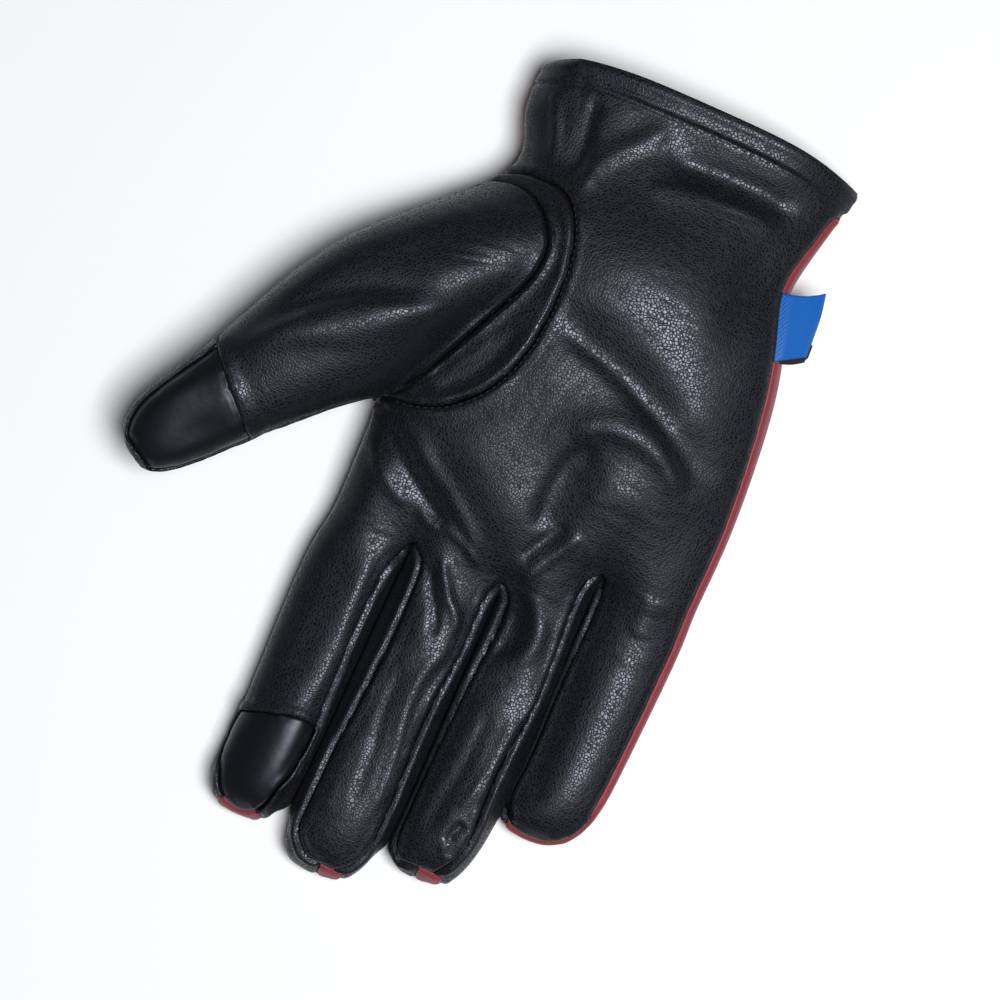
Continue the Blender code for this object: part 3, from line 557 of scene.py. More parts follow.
# Folds of the palm side: a height in mm at the curve, and how wide it is to the left and right
foldTable = (
    # Crease under the heel of the hand, the arch below it and the bowl inside the arch
    {"height": -1.4, "left": 5.5, "right": 3.0,
     "path": ((-9, 37), (0, 34), (8, 32), (17, 29), (27, 24), (36, 19), (44, 12), (50, 4))},
    {"height": 1.0, "left": 4.5, "right": 3.2,
     "path": ((8, 7), (14, 13), (22, 15), (32, 14), (40, 10), (46, 4))},
    {"height": -1.2, "left": 4.0, "right": 3.2,
     "path": ((18, 9), (13, 3), (11, -6), (11, -14), (14, -20))},
    # Folds from the thumb crotch towards the fingers
    {"height": 0.9, "left": 2.6, "right": 2.0,
     "path": ((-40, -5), (-32, -10), (-24, -16), (-15, -22), (-6, -29), (1, -36))},
    {"height": -0.8, "left": 1.6, "right": 1.6,
     "path": ((-42, -9), (-35, -16), (-27, -22), (-19, -27), (-10, -33))},
    {"height": 0.6, "left": 1.8, "right": 1.8, "path": ((-44, -14), (-38, -22), (-31, -27), (-24, -29))},
    {"height": 0.7, "left": 1.5, "right": 1.3,
     "path": ((-24, -28), (-18, -31), (-12, -31), (-6, -33), (2, -38))},
    {"height": 0.8, "left": 1.8, "right": 2.2, "path": ((24, -16), (20, -23), (16, -30), (13, -37))},
    {"height": -0.7, "left": 1.8, "right": 1.8, "path": ((19, -15), (14, -23), (10, -31))},
    # Middle finger
    {"height": 1.0, "left": 1.5, "right": 1.3,
     "path": ((-11, -37), (-8, -43), (-4, -49), (0, -53), (2, -59))},
    {"height": -1.0, "left": 1.4, "right": 1.8, "path": ((-13, -41), (-10, -48), (-6, -54), (-3, -62))},
    {"height": 0.7, "left": 1.9, "right": 2.0,
     "path": ((2, -57), (1, -64), (-2, -72), (-2, -85), (0, -95), (1, -106), (1, -120))},
    {"height": 0.35, "left": 2.4, "right": 2.4, "path": ((-12, -93), (-13, -106), (-12, -122))},
    {"height": -0.5, "left": 2.0, "right": 2.0, "path": ((-8, -70), (-8, -85), (-6, -100), (-5, -118))},
    # Index finger
    {"height": 0.5, "left": 2.4, "right": 2.6,
     "path": ((-31, -44), (-29, -55), (-28, -68), (-27, -82), (-28, -94))},
    {"height": -0.4, "left": 4.0, "right": 3.0,
     "path": ((-38, -46), (-36, -60), (-36, -78), (-38, -92))},
    # Ring finger
    {"height": 0.8, "left": 2.6, "right": 2.6,
     "path": ((14, -38), (20, -41), (24, -48), (23, -55), (18, -60), (12, -62))},
    {"height": -0.4, "left": 2.4, "right": 2.4, "path": ((12, -46), (17, -48), (18, -53), (13, -57))},
    {"height": 0.6, "left": 1.7, "right": 1.6, "path": ((28, -70), (27, -84), (26, -96), (24, -105))},
    {"height": -0.6, "left": 2.8, "right": 2.0, "path": ((20, -72), (20, -88), (18, -104), (17, -116))},
    {"height": -0.8, "left": 1.3, "right": 1.5, "path": ((27, -107), (25, -110), (24.5, -114))},
    {"height": 0.35, "left": 1.0, "right": 1.2,
     "path": ((30, -106), (30, -111), (28.5, -117), (25, -118), (23, -113))},
    # Little finger
    {"height": 0.5, "left": 4.0, "right": 3.0, "path": ((50, -24), (50, -38))},
    {"height": -0.4, "left": 3.0, "right": 3.0, "path": ((40, -50), (40, -66), (41, -84), (43, -96))},
    # Cuff
    {"height": 0.9, "left": 2.6, "right": 3.4,
     "path": ((1, 102), (-4, 96), (-9, 91), (-13, 86), (-16, 80), (-17, 72))},
    {"height": -1.1, "left": 3.0, "right": 3.6,
     "path": ((2, 90), (10, 93), (22, 94), (34, 94), (44, 91))},
    {"height": 0.6, "left": 2.0, "right": 4.0,
     "path": ((-2, 81), (8, 85), (18, 87), (30, 88), (42, 86))},
    {"height": -1.1, "left": 3.0, "right": 3.0, "path": ((-24, 101), (-23, 93), (-22, 85), (-21, 76))},
    {"height": 0.6, "left": 1.8, "right": 1.8, "path": ((-36, 99), (-33, 92), (-30, 86), (-28, 78))},
    # Thumb
    {"height": 0.9, "left": 2.8, "right": 6.0,
     "path": ((-91, -11), (-82, -2), (-74, 7), (-66, 14), (-55, 19), (-45, 23), (-37, 28), (-31, 33))},
    {"height": -0.7, "left": 3.0, "right": 2.6,
     "path": ((-83, 4), (-74, 14), (-64, 21), (-55, 26), (-44, 30))},
    # Keystone
    {"height": 0.8, "left": 3.0, "right": 2.6, "path": ((-37, 4), (-31, 11), (-27, 19), (-24, 28))},
    {"height": -0.6, "left": 2.0, "right": 2.0, "path": ((-32, 4), (-25, 11), (-20, 20), (-17, 32))},
    {"height": 0.5, "left": 1.6, "right": 1.8,
     "path": ((-38, -3.5), (-29, -1.5), (-22, 3), (-16, 10), (-13, 18))},
)

# Wide soft bumps and hollows of the palm side
padTable = (
    {"x": 8, "y": 62, "across": 20, "along": 17, "height": 1.6},
    {"x": 30, "y": -2, "across": 8, "along": 8, "height": 0.8},
    {"x": 36, "y": 22, "across": 6, "along": 9, "height": 0.4},
    {"x": -2, "y": 6, "across": 9, "along": 12, "height": -0.4},
    {"x": -40, "y": -30, "across": 5, "along": 10, "height": 0.4},
    {"x": 40, "y": 66, "across": 7, "along": 16, "height": -1.6},
    {"x": 50, "y": 0, "across": 7, "along": 20, "height": -1.0},
    {"x": 22, "y": 97, "across": 26, "along": 7, "height": -1.4},
    {"x": -28, "y": 55, "across": 8, "along": 9, "height": 0.8},
    {"x": -100, "y": -27, "across": 4, "along": 10, "turn": -35, "height": 0.9},
    {"x": -89, "y": -34, "across": 5, "along": 10, "turn": -35, "height": -1.2},
)

# Patches of fine wrinkles: the angle is the way that the lines run
wrinkleTable = (
    {"x": -27, "y": 20, "across": 7, "along": 16, "angle": 65, "spacing": 1.7, "height": 0.14},
    {"x": -24, "y": 90, "across": 14, "along": 12, "angle": 100, "spacing": 4.0, "height": 0.35},
    {"x": -36, "y": -38, "across": 11, "along": 3.5, "angle": 2, "spacing": 1.8, "height": 0.26},
    {"x": -8, "y": -42, "across": 8, "along": 5, "angle": -60, "spacing": 2.2, "height": 0.2},
    {"x": 21, "y": -65, "across": 10, "along": 3.2, "angle": -3, "spacing": 1.7, "height": 0.3},
    {"x": 22, "y": -37, "across": 9, "along": 3.5, "angle": 5, "spacing": 1.7, "height": 0.2},
    {"x": 50, "y": -43, "across": 10, "along": 3.6, "angle": 3, "spacing": 1.8, "height": 0.28},
    {"x": 51, "y": -27, "across": 8, "along": 5, "angle": 8, "spacing": 2.0, "height": 0.15},
    {"x": 30, "y": -5, "across": 18, "along": 12, "angle": -8, "spacing": 2.6, "height": 0.16},
    {"x": 31, "y": 87, "across": 14, "along": 4, "angle": 5, "spacing": 1.8, "height": 0.24},
    {"x": -12, "y": 104, "across": 16, "along": 3, "angle": 0, "spacing": 1.6, "height": 0.2},
    {"x": -41, "y": -3, "across": 9, "along": 7, "angle": -30, "spacing": 1.8, "height": 0.2},
    {"x": 0, "y": 15, "across": 16, "along": 16, "angle": 75, "spacing": 2.4, "height": 0.10},
    {"x": 20, "y": 50, "across": 24, "along": 14, "angle": 0, "spacing": 2.2, "height": 0.09},
    {"x": -18, "y": -34, "across": 5, "along": 5, "angle": 80, "spacing": 1.8, "height": 0.3},
    {"x": 9, "y": -34, "across": 5, "along": 5, "angle": 85, "spacing": 1.8, "height": 0.25},
    {"x": 33, "y": -21, "across": 5, "along": 4, "angle": 85, "spacing": 1.7, "height": 0.22},
    {"x": -4, "y": -56, "across": 6, "along": 8, "angle": 15, "spacing": 2.0, "height": 0.12},
    {"x": 30, "y": -112, "across": 4, "along": 6, "angle": 60, "spacing": 1.6, "height": 0.2},
)
# Lines that fan out over the thumb from its root
fanValues = {
    "x": -10,
    "y": 50,
    "nearest": 8,
    "farthest": 42,
    "low": 155,
    "high": 205,
    "lines": 26,
    "height": 0.2,
}


foldValues = {
    "reach": 3,  # widths past which a fold is nothing
    "fade": 0.18,  # share of its length over which each end fades
    "sideways": 0.1,  # upward part of the normal where folds begin, and where they are whole
    "upright": 0.5,
}


def foldHeights(places, normals):
    flat = places[:, :2] - np.array([tableOrigin["x"], tableOrigin["y"]])
    heights = np.zeros(len(places))
    for row in foldTable:
        path = np.array(row["path"], float)
        reach = foldValues["reach"] * max(row["left"], row["right"])
        low = path.min(axis=0) - reach
        high = path.max(axis=0) + reach
        near = np.nonzero(((flat > low) & (flat < high)).all(axis=1))[0]
        distance, share = alongCurve(flat[near], row["path"])
        width = np.where(distance > 0, row["left"], row["right"])
        fade = foldValues["fade"]
        ends = smoothStep(share, 0, fade) * smoothStep(1 - share, 0, fade)
        heights[near] += row["height"] * np.exp(-(distance / width) ** 2) * ends
    for row in padTable:
        turn = math.radians(row.get("turn", 0))
        right = flat[:, 0] - row["x"]
        up = flat[:, 1] - row["y"]
        across = right * math.cos(turn) + up * math.sin(turn)
        along = up * math.cos(turn) - right * math.sin(turn)
        heights += row["height"] * np.exp(-(across / row["across"]) ** 2 - (along / row["along"]) ** 2)
    return heights * smoothStep(normals[:, 2], foldValues["sideways"], foldValues["upright"])


def wrinkleHeights(places, normals):
    # Uneven waves, longer along the lines than across them
    flat = places[:, :2] - np.array([tableOrigin["x"], tableOrigin["y"]])
    heights = np.zeros(len(places))
    for number, row in enumerate(wrinkleTable):
        angle = math.radians(row["angle"])
        aside = flat - np.array([row["x"], row["y"]])
        away = np.hypot(aside[:, 0] / row["across"], aside[:, 1] / row["along"])
        near = np.nonzero(away < 1.8)[0]
        along = aside[near, 0] * math.cos(angle) + aside[near, 1] * math.sin(angle)
        across = aside[near, 1] * math.cos(angle) - aside[near, 0] * math.sin(angle)
        layer = np.stack([along / (row["spacing"] * 3.2), across / (row["spacing"] * 0.62),
                          np.full(len(near), 3.7 * number)], axis=1)
        heights[near] += row["height"] * latticeNoise(layer, number) * np.exp(-away[near] ** 3)
    aside = flat - np.array([fanValues["x"], fanValues["y"]])
    radius = np.hypot(aside[:, 0], aside[:, 1])
    turn = np.degrees(np.arctan2(aside[:, 1], aside[:, 0])) % 360
    reach = smoothStep(radius, fanValues["nearest"], fanValues["nearest"] + 6)
    reach *= 1 - smoothStep(radius, fanValues["farthest"] - 14, fanValues["farthest"])
    reach *= smoothStep(turn, fanValues["low"], fanValues["low"] + 8)
    reach *= 1 - smoothStep(turn, fanValues["high"] - 10, fanValues["high"])
    share = (turn - fanValues["low"]) / (fanValues["high"] - fanValues["low"])
    layer = np.stack([share * fanValues["lines"], radius / 9, np.zeros(len(turn))], axis=1)
    heights += fanValues["height"] * latticeNoise(layer, 71) * reach
    return heights * smoothStep(normals[:, 2], foldValues["sideways"], foldValues["upright"])


normals = vertexNormals(basePlaces, quads)
basePlaces = basePlaces + normals * foldHeights(basePlaces, normals)[:, None]
normals = vertexNormals(basePlaces, quads)
basePlaces = basePlaces + normals * wrinkleHeights(basePlaces, normals)[:, None]
normals = vertexNormals(basePlaces, quads)
print("folds and wrinkles made")

# Each piece gets its own copy of the points on its seams
keys, splitQuads = np.unique(quads * 16 + quadTags[:, None], return_inverse=True)
splitQuads = splitQuads.reshape(-1, 4)
splitOf = keys // 16
splitTags = keys % 16
places = basePlaces[splitOf]
normals = normals[splitOf]
seamEnds, seamPairs, openEnds = seamEdges(quads, quadTags)

seamValues = {
    "reach": 9.0,
    "samples": 4,
    "groove": 1.05,
    "grooveWidth": 0.75,
    "lip": 0.3,
    "forkLip": 0.5,
    "lipAt": 1.9,
    "lipWidth": 1.1,
    "backLip": 0.15,
    "backGroove": 0.45,
    "lap": 0.65,  # mm that the leather stands over a touch patch, and that the patch lies below it
    "under": 0.3,
    "pucker": 0.15,
}


def nearestSeams(places, splitTags):
    # For each point, the distance to its own piece's nearest seam and the piece beyond it
    distance = np.full(len(places), 99.0)
    beyond = np.full(len(places), -1)
    shares = np.arange(seamValues["samples"]) / seamValues["samples"]
    for tag in range(len(pieceNames)):
        rows = np.nonzero((seamPairs == tag).any(axis=1))[0]
        starts = basePlaces[seamEnds[rows, 0]]
        ways = basePlaces[seamEnds[rows, 1]] - starts
        samples = (starts[:, None, :] + ways[:, None, :] * shares[None, :, None]).reshape(-1, 3)
        pairs = seamPairs[rows]
        others = np.repeat(np.where(pairs[:, 0] == tag, pairs[:, 1], pairs[:, 0]), len(shares))
        tree = kdtree.KDTree(len(samples))
        for i, place in enumerate(samples):
            tree.insert(place, i)
        tree.balance()
        for i in np.nonzero(splitTags == tag)[0]:
            _, found, gap = tree.find(places[i])
            distance[i] = gap
            beyond[i] = others[found]
    return distance, beyond


seamDistance, seamBeyond = nearestSeams(places, splitTags)
onSeam = seamDistance < 0.02
print("seams found:", int(onSeam.sum()), "points")

forks = (forkIndex, forkMiddle, forkRing)


def seamHeights(tags, beyond, distance, places):
    groove = np.full(len(tags), seamValues["groove"])
    lip = np.full(len(tags), seamValues["lip"])
    forked = np.isin(tags, forks) | np.isin(beyond, forks)
    lip[forked] = seamValues["forkLip"]
    byBack = (tags == back) | (beyond == back)
    lip[byBack] = seamValues["backLip"]
    groove[byBack] = seamValues["backGroove"]
    heights = -groove * np.exp(-(distance / seamValues["grooveWidth"]) ** 2)
    heights += lip * np.exp(-((distance - seamValues["lipAt"]) / seamValues["lipWidth"]) ** 2)
    patch = np.isin(tags, (indexPatch, thumbPatch))
    byPatch = np.isin(beyond, (indexPatch, thumbPatch)) & ~patch & ~np.isin(tags, (back,))
    onPatch = patch & ~np.isin(beyond, (back,) + forks)
    heights = np.where(byPatch, seamValues["lap"] * (1 - smoothStep(distance, 2.2, 3.0)), heights)
    heights = np.where(onPatch, -seamValues["under"] * (1 - smoothStep(distance, 0.5, 3.0)), heights)
    pucker = latticeNoise(places / 2.3, 5) * np.exp(-(distance / 3.5) ** 2)
    return heights + seamValues["pucker"] * pucker


hemValues = {
    "band": 7.4,  # mm from the edge to the stitched line
    "rise": 0.5,
    "roll": 0.35,
    "rollAt": 2.0,
    "groove": 0.35,
    "grooveWidth": 0.6,
    "reach": 22,  # mm below the cuff's edge that the hem can show
}


def hemHeights(places):
    # The turned-in edge of the cuff: a raised band, its roll and the groove of the stitched line
    tree = kdtree.KDTree(len(openEnds))
    for i, (start, end) in enumerate(openEnds):
        tree.insert((basePlaces[start] + basePlaces[end]) / 2, i)
    tree.balance()
    distance = np.full(len(places), 99.0)
    for i in np.nonzero(places[:, 1] > places[:, 1].max() - hemValues["reach"])[0]:
        distance[i] = tree.find(places[i])[2]
    heights = hemValues["rise"] * (1 - smoothStep(distance, hemValues["band"] - 1.2, hemValues["band"]))
    heights *= smoothStep(distance, -0.6, 1.2)
    heights += hemValues["roll"] * np.exp(-((distance - hemValues["rollAt"]) / 1.3) ** 2)
    heights -= hemValues["groove"] * np.exp(-((distance - hemValues["band"]) / hemValues["grooveWidth"]) ** 2)
    return heights


forkValues = {
    "widest": 5.0,  # mm between two sides that still lean on each other
    "closed": 0.48,
    "most": 2.0,
    "still": 0.8,  # mm from the seam where the move begins, and where it is whole
    "whole": 3.2,
    "smoothing": 12,
}


def closeForks(places, normals):
    # The soft sides of neighbouring fingers lean on each other
    tree = bvhtree.BVHTree.FromPolygons(places.tolist(), splitQuads.tolist())
    move = np.zeros(len(places))
    for i in np.nonzero(np.isin(splitTags, forks))[0]:
        start = Vector(places[i] + normals[i] * 0.05)
        _, _, face, gap = tree.ray_cast(start, Vector(normals[i]), forkValues["widest"])
        if face is not None and quadTags[face] == splitTags[i]:
            move[i] = min(gap * forkValues["closed"], forkValues["most"])
    move *= smoothStep(seamDistance, forkValues["still"], forkValues["whole"])
    forkQuads = splitQuads[np.isin(quadTags, forks)]
    ends = np.concatenate([forkQuads[:, [i, (i + 1) % 4]] for i in range(4)])
    degree = np.maximum(np.bincount(ends.ravel(), minlength=len(move)), 1)
    for _ in range(forkValues["smoothing"]):
        total = np.bincount(ends[:, 0], move[ends[:, 1]], len(move))
        total += np.bincount(ends[:, 1], move[ends[:, 0]], len(move))
        move = np.where(seamDistance > forkValues["still"] / 2, total / degree, 0)
    return move


hemRise = hemHeights(places)
places = places + normals * (seamHeights(splitTags, seamBeyond, seamDistance, places) + hemRise)[:, None]
places = places + normals * closeForks(places, normals)[:, None]
print("seams, hem and forks made")


def pullSeams(places, quads, onSeam, amount):
    # The edge of each piece stands back from the seam
    inward = np.zeros_like(places)
    for corner in range(4):
        here = quads[:, corner]
        for step in (1, 3):
            there = quads[:, (corner + step) % 4]
            use = onSeam[here] & ~onSeam[there]
            way = places[there[use]] - places[here[use]]
            np.add.at(inward, here[use], way / np.maximum(np.linalg.norm(way, axis=1, keepdims=True), 1e-9))
    size = np.linalg.norm(inward, axis=1, keepdims=True)
    return places + np.where(size > 0.1, inward / np.maximum(size, 1e-9), 0) * amount


places = pullSeams(places, splitQuads, onSeam, skinValues["seamPull"])
places[:, 2] = np.maximum(places[:, 2], 0.02)


bodyName = list(frame["bodies"])[0]
slotNames = ["grain_leather"] * 10
slotNames[back] = "red_leather"
slotNames[indexPatch] = "smooth_leather"
slotNames[thumbPatch] = "smooth_leather"


def leatherPiece(tag, material):
    # The piece's own faces, given the leather's thickness inwards
    rows = np.nonzero(quadTags == tag)[0]
    used, local = np.unique(splitQuads[rows], return_inverse=True)
    mesh = bpy.data.meshes.new(pieceNames[tag] + "_leather")
    mesh.from_pydata((places[used] * mm).tolist(), [], local.reshape(-1, 4).tolist())
    mesh.polygons.foreach_set("use_smooth", [True] * len(rows))
    edge = mesh.attributes.new("seamDistance", "FLOAT", "POINT")
    edge.data.foreach_set("value", seamDistance[used])
    piece = bpy.data.objects.new(pieceNames[tag] + "_leather", mesh)
    bpy.context.collection.objects.link(piece)
    bpy.ops.object.select_all(action="DESELECT")
    bpy.context.view_layer.objects.active = piece
    piece.select_set(True)
    hem = piece.vertex_groups.new(name="hem")
    cuffEdge = boundsAtLoad[1][1] / mm
    share = skinValues["wall"] / skinValues["hemWall"]
    depth = smoothStep(places[used][:, 1], cuffEdge - 12.0, cuffEdge - 9.0)
    for i, weight in enumerate(share + (1 - share) * depth):
        hem.add([i], float(weight), "REPLACE")
    wall = piece.modifiers.new("wall", "SOLIDIFY")
    wall.thickness = skinValues["hemWall"] * mm
    wall.offset = -1
    wall.vertex_group = "hem"
    wall.use_rim = True
    bpy.ops.object.modifier_apply(modifier="wall")
    piece.vertex_groups.clear()
    mesh.materials.append(material)
    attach(piece, bodyName)
    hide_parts(pieceNames[tag])


def leatherMaterial(name, look):
    # Pebbles with fine creases between them: the creases are lower and duller than the tops
    material = bpy.data.materials.new(name)
    material.use_nodes = True
    nodes = material.node_tree.nodes
    links = material.node_tree.links
    shader = nodes["Principled BSDF"]
    shader.inputs["Base Color"].default_value = (*look["base"], 1)
    shader.inputs["Specular IOR Level"].default_value = look["specular"]
    shader.inputs["Specular Tint"].default_value = (*look["tint"], 1)
    coordinates = nodes.new("ShaderNodeTexCoord")
    warp = nodes.new("ShaderNodeTexNoise")
    warp.inputs["Scale"].default_value = 0.4 / (look["grain"] * mm)
    warp.inputs["Detail"].default_value = 1
    links.new(coordinates.outputs["Object"], warp.inputs["Vector"])
    push = nodes.new("ShaderNodeVectorMath")
    push.operation = "MULTIPLY_ADD"
    push.inputs[1].default_value = (look["grain"] * mm * look["warp"],) * 3
    links.new(warp.outputs["Color"], push.inputs[0])
    links.new(coordinates.outputs["Object"], push.inputs[2])
    cells = nodes.new("ShaderNodeTexVoronoi")
    cells.feature = "DISTANCE_TO_EDGE"
    cells.inputs["Scale"].default_value = 1 / (look["grain"] * mm)
    cells.inputs["Randomness"].default_value = 0.85
    links.new(push.outputs[0], cells.inputs["Vector"])
    level = nodes.new("ShaderNodeMapRange")
    level.interpolation_type = "SMOOTHSTEP"
    level.inputs["From Max"].default_value = look["crease"]
    links.new(cells.outputs["Distance"], level.inputs["Value"])
    dull = nodes.new("ShaderNodeMapRange")
    dull.inputs["To Min"].default_value = look["creaseRoughness"]
    dull.inputs["To Max"].default_value = look["roughness"]
    links.new(level.outputs["Result"], dull.inputs["Value"])
    links.new(dull.outputs["Result"], shader.inputs["Roughness"])
    grainBump = nodes.new("ShaderNodeBump")
    grainBump.inputs["Strength"].default_value = 1.0
    grainBump.inputs["Distance"].default_value = look["depth"] * mm
    links.new(level.outputs["Result"], grainBump.inputs["Height"])
    waves = nodes.new("ShaderNodeTexNoise")
    waves.inputs["Scale"].default_value = 1 / (look["wave"] * mm)
    waves.inputs["Detail"].default_value = 2
    links.new(coordinates.outputs["Object"], waves.inputs["Vector"])
    waveBump = nodes.new("ShaderNodeBump")
    waveBump.inputs["Strength"].default_value = 1.0
    waveBump.inputs["Distance"].default_value = look["waveDepth"] * mm
    links.new(waves.outputs["Fac"], waveBump.inputs["Height"])
    links.new(grainBump.outputs["Normal"], waveBump.inputs["Normal"])
    links.new(waveBump.outputs["Normal"], shader.inputs["Normal"])
    return material


leatherLooks = {
    "grain": {"base": (0.0035, 0.0035, 0.0045), "specular": 0.42, "roughness": 0.30, "creaseRoughness": 0.72,
              "grain": 0.95, "warp": 1.1, "crease": 0.22, "depth": 0.03, "wave": 4.0, "waveDepth": 0.12,
              "tint": (0.82, 0.86, 1.0)},
    "red": {"base": (0.20, 0.022, 0.030), "specular": 0.5, "roughness": 0.45, "creaseRoughness": 0.6,
            "grain": 0.7, "warp": 1.1, "crease": 0.2, "depth": 0.02, "wave": 4.0, "waveDepth": 0.1,
              "tint": (1.0, 0.95, 0.95)},
    "smooth": {"base": (0.0035, 0.0035, 0.0045), "specular": 0.42, "roughness": 0.38, "creaseRoughness": 0.42,
               "grain": 0.5, "warp": 1.1, "crease": 0.3, "depth": 0.006, "wave": 3.0, "waveDepth": 0.06,
              "tint": (0.82, 0.86, 1.0)},
}
grainLeather = leatherMaterial("grainLeather", leatherLooks["grain"])
redLeather = leatherMaterial("redLeather", leatherLooks["red"])
smoothLeather = leatherMaterial("smoothLeather", leatherLooks["smooth"])
leatherOf = [grainLeather] * 10
leatherOf[back] = redLeather
leatherOf[indexPatch] = smoothLeather
leatherOf[thumbPatch] = smoothLeather
for tag in range(len(pieceNames)):
    leatherPiece(tag, leatherOf[tag])
print("leather pieces made")


# Stitched lines of the palm side
stitchTable = (
    {"name": "thumb_stitches", "pitch": 2.1,
     "path": ((-22, 69), (-19, 66), (-16.6, 62), (-15.2, 57), (-15, 51), (-16, 46.5), (-19, 41.5),
              (-24, 35.5))},
    {"name": "keystone_stitches", "pitch": 2.1,
     "path": ((-26, 74.2), (-20, 72), (-16.4, 68), (-13.6, 63), (-11.6, 57), (-10.4, 49), (-10, 38),
              (-11.2, 27), (-14.2, 17), (-19, 8.6), (-26.5, 1.6), (-35, -2.1), (-42, -3.2))},
    {"name": "index_patch_stitches", "pitch": 2.1,
     "path": ((-46, -102.6), (-42, -100.8), (-35, -98.6), (-30, -97.6), (-25.5, -97.6))},
    {"name": "thumb_patch_stitches", "pitch": 2.1,
     "path": ((-92, -11.5), (-86.5, -16.6), (-81, -22), (-76, -27.5))},
    {"name": "hem_stitches", "pitch": 2.5,
     "path": ((-37, 100.5), (-30, 103), (-15, 103.8), (0, 103.6), (20, 103.2), (40, 102.2), (50, 99.8),
              (53, 98.6))},
)
stitchValues = {"length": 1.5, "thick": 0.42, "lift": 0.02}


def stitchLine(row, tree, material):
    # Small rounded threads laid along the line on the leather
    line = curvePoints(row["path"], 10)
    spans = np.linalg.norm(np.diff(line, axis=0), axis=1)
    reached = np.concatenate([[0], np.cumsum(spans)])
    bm = bmesh.new()
    for at in np.arange(0.5 * row["pitch"], reached[-1], row["pitch"]):
        x, y = (np.interp(at, reached, line[:, i]) for i in (0, 1))
        ahead = [np.interp(at + 0.4, reached, line[:, i]) - (x, y)[i] for i in (0, 1)]
        start = Vector((x + tableOrigin["x"], y + tableOrigin["y"], 80))
        place, normal, _, _ = tree.ray_cast(start, Vector((0, 0, -1)))
        if place is None or normal.z < 0.15:
            continue
        way = Vector((ahead[0], ahead[1], 0))
        way = (way - normal * way.dot(normal)).normalized()
        turn = Matrix((way, normal.cross(way), normal)).transposed().to_4x4()
        halfThick = stitchValues["thick"] / 2
        size = Matrix.Diagonal((stitchValues["length"] / 2, halfThick, halfThick, 1))
        spot = Matrix.Translation((place + normal * stitchValues["lift"]) * mm)
        spot = spot @ turn @ size @ Matrix.Scale(mm, 4)
        bmesh.ops.create_uvsphere(bm, u_segments=8, v_segments=6, radius=1.0, matrix=spot)
    mesh = bpy.data.meshes.new(row["name"])
    bm.to_mesh(mesh)
    bm.free()
    mesh.polygons.foreach_set("use_smooth", [True] * len(mesh.polygons))
    mesh.materials.append(material)
    piece = bpy.data.objects.new(row["name"], mesh)
    bpy.context.collection.objects.link(piece)
    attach(piece, bodyName)


def plainMaterial(name, base, roughness):
    material = bpy.data.materials.new(name)
    material.use_nodes = True
    shader = material.node_tree.nodes["Principled BSDF"]
    shader.inputs["Base Color"].default_value = (*base, 1)
    shader.inputs["Roughness"].default_value = roughness
    return material


def ribbonMaterial():
    # Fine ribs across the ribbon
    material = plainMaterial("ribbonWeave", ribbonValues["colour"], 0.55)
    nodes = material.node_tree.nodes
    links = material.node_tree.links
    shader = nodes["Principled BSDF"]
    shader.inputs["Specular IOR Level"].default_value = 0.3
    coordinates = nodes.new("ShaderNodeTexCoord")
    turned = nodes.new("ShaderNodeMapping")
    turned.inputs["Rotation"].default_value = (0, 0, math.radians(ribbonValues["ribTurn"]))
    ribs = nodes.new("ShaderNodeTexWave")
    ribs.inputs["Scale"].default_value = 0.16 / (ribbonValues["rib"] * mm)
    ribs.inputs["Distortion"].default_value = 1.5
    ribs.inputs["Detail Scale"].default_value = 2.0
    bump = nodes.new("ShaderNodeBump")
    bump.inputs["Distance"].default_value = 0.05 * mm
    links.new(coordinates.outputs["Object"], turned.inputs["Vector"])
    links.new(turned.outputs["Vector"], ribs.inputs["Vector"])
    links.new(ribs.outputs["Fac"], bump.inputs["Height"])
    links.new(bump.outputs["Normal"], shader.inputs["Normal"])
    return material


ribbonValues = {
    "rootTop": 71.0,
    "rootLow": 51.2,
    "fold": ((60.2, 76.4), (61.4, 70), (62, 63), (62.4, 57.2)),
    "sag": 1.1,  # mm that the upper edge dips between root and fold
    "gap": 3.4,
    "below": 1.7,  # mm that the lower layer shows past the upper one
    "thick": 0.5,
    "tuck": 1.2,
    "colour": (0.0025, 0.10, 0.40),
    "rib": 0.45,
    "ribTurn": 24,
    "across": 28,
    "along": 40,
    "seamFrom": 30,  # mm, past which the seam is the little finger's side
    "flatFold": 1.08,
    "bendAt": 0.72,  # share of the way out where the layers begin to close
    "droop": 0.25,
    "twist": 0.5,
    # The inside of the loop is painted near-black: painted shade for the dark opening under the fold
    "inner": (0.004, 0.004, 0.006),
}


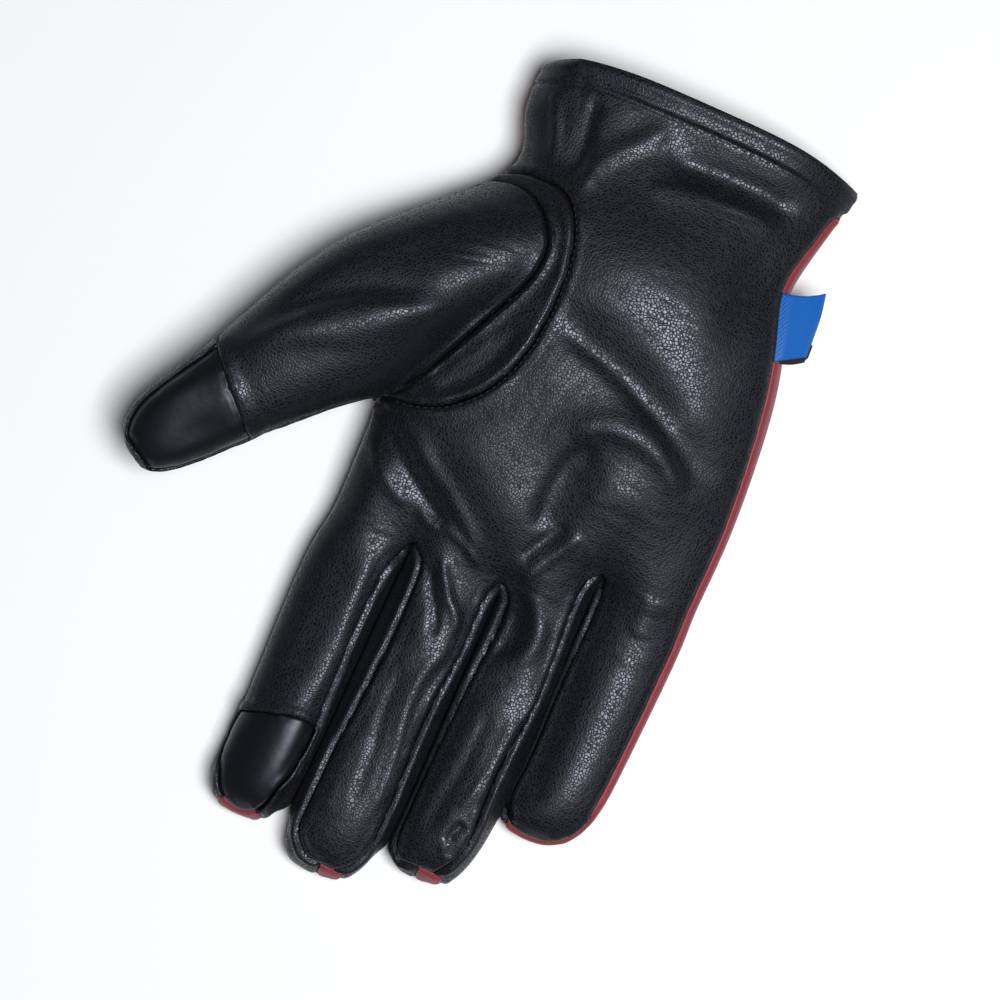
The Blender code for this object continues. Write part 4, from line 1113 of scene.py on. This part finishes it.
def sideTag():
    # A ribbon loop held in the side seam: out along the top, round the fold and back below
    rows = (seamPairs == (palm, back)).all(axis=1)
    points = basePlaces[seamEnds[rows].ravel()]
    points = points[points[:, 0] > ribbonValues["seamFrom"]]
    points = points[np.argsort(points[:, 1])]
    fold = curvePoints(ribbonValues["fold"], 8)
    foldShare = np.linspace(0, 1, len(fold))
    across, along = ribbonValues["across"], ribbonValues["along"]
    verts = []
    for i in range(along + 1):
        turn = i / along
        out = 1 - abs(2 * turn - 1)  # 0 at the seam, 1 at the fold
        out = min(1.0, out * ribbonValues["flatFold"])
        lower = turn > 0.5
        for j in range(across + 1):
            share = j / across
            rootY = ribbonValues["rootTop"] + (ribbonValues["rootLow"] - ribbonValues["rootTop"]) * share
            rootX = np.interp(rootY + tableOrigin["y"], points[:, 1], points[:, 0]) - tableOrigin["x"]
            rootZ = np.interp(rootY + tableOrigin["y"], points[:, 1], points[:, 2])
            foldX = np.interp(share, foldShare, fold[:, 0])
            foldY = np.interp(share, foldShare, fold[:, 1])
            x = rootX - ribbonValues["tuck"] + (foldX - rootX + ribbonValues["tuck"]) * out
            y = rootY + (foldY - rootY) * out
            y -= ribbonValues["sag"] * (1 - share) * math.sin(math.pi * out)
            if lower:
                y -= ribbonValues["below"] * math.sin(math.pi * min(out, 0.75) / 1.5) * share
            past = max(0.0, (out - ribbonValues["bendAt"]) / (1 - ribbonValues["bendAt"]))
            half = ribbonValues["gap"] / 2 * math.sqrt(max(0.0, 1 - past ** 2)) * smoothStep(out, 0, 0.35)
            z = rootZ * (1 - out * ribbonValues["droop"]) + (-half if lower else half)
            z += ribbonValues["twist"] * math.sin(3.0 * share + 0.6) * out
            verts.append(((x + tableOrigin["x"]) * mm, (y + tableOrigin["y"]) * mm, z * mm))
    step = across + 1
    faces = [(i * step + j, i * step + j + 1, (i + 1) * step + j + 1, (i + 1) * step + j)
             for i in range(along) for j in range(across)]
    mesh = bpy.data.meshes.new("side_tag_ribbon")
    mesh.from_pydata(verts, [], faces)
    mesh.polygons.foreach_set("use_smooth", [True] * len(faces))
    mesh.materials.append(ribbonMaterial())
    # The ribbon's inner faces get the near-black colour, painted shade inside the loop
    mesh.materials.append(plainMaterial("ribbonInsidePaintedShade", ribbonValues["inner"], 0.8))
    piece = bpy.data.objects.new("side_tag_ribbon", mesh)
    bpy.context.collection.objects.link(piece)
    bpy.ops.object.select_all(action="DESELECT")
    bpy.context.view_layer.objects.active = piece
    piece.select_set(True)
    wall = piece.modifiers.new("wall", "SOLIDIFY")
    wall.thickness = ribbonValues["thick"] * mm
    wall.offset = -1
    wall.material_offset = 1
    bpy.ops.object.modifier_apply(modifier="wall")
    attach(piece, bodyName)
    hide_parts("side_tag")


dressed = bvhtree.BVHTree.FromPolygons(places.tolist(), splitQuads.tolist())
thread = plainMaterial("blackThread", (0.0025, 0.0025, 0.003), 0.7)
for row in stitchTable:
    stitchLine(row, dressed, thread)
sideTag()
print("stitches and tag made")


stageValues = {"floorSize": 8, "floorTone": 0.86, "floorRoughness": 0.8, "world": 0.06}


def stageAndLight():
    bpy.ops.mesh.primitive_plane_add(size=stageValues["floorSize"], location=(0, 0, 0))
    floor = bpy.context.object
    floor.name = "floor"
    paint = bpy.data.materials.new("floorPaint")
    paint.use_nodes = True
    shader = paint.node_tree.nodes["Principled BSDF"]
    shader.inputs["Base Color"].default_value = (*[stageValues["floorTone"]] * 3, 1)
    shader.inputs["Roughness"].default_value = stageValues["floorRoughness"]
    floor.data.materials.append(paint)
    for row in lightTable:
        light = bpy.data.lights.new(row["name"], "AREA")
        light.shape = "RECTANGLE"
        light.size = row["width"]
        light.size_y = row["depth"]
        light.energy = row["power"]
        light.color = row["colour"]
        lamp = bpy.data.objects.new(row["name"], light)
        lamp.location = row["place"]
        aim = Vector(row["aim"]) - Vector(row["place"])
        lamp.rotation_euler = aim.to_track_quat("-Z", "Y").to_euler()
        bpy.context.collection.objects.link(lamp)
    world = bpy.data.worlds.new("world")
    world.use_nodes = True
    world.node_tree.nodes["Background"].inputs["Color"].default_value = (1, 1, 1, 1)
    world.node_tree.nodes["Background"].inputs["Strength"].default_value = stageValues["world"]
    bpy.context.scene.world = world


lightTable = (
    {"name": "overhead", "place": (0.33, -0.05, 1.45), "aim": (0, 0, 0), "width": 0.5, "depth": 0.6,
     "power": 27, "colour": (0.96, 0.98, 1.0)},
)
stageAndLight()

cameraValues = {"x": -0.0108, "y": -0.0171, "height": 1.1075, "turn": 24.0, "lens": 135}
camera = bpy.data.objects.new("camera", bpy.data.cameras.new("camera"))
camera.data.lens = cameraValues["lens"]
camera.location = (cameraValues["x"], cameraValues["y"], cameraValues["height"])
camera.rotation_euler = (0, 0, math.radians(cameraValues["turn"]))
bpy.context.collection.objects.link(camera)
bpy.context.scene.camera = camera
bpy.context.scene.view_settings.view_transform = "Standard"
print("stage, light and camera made")
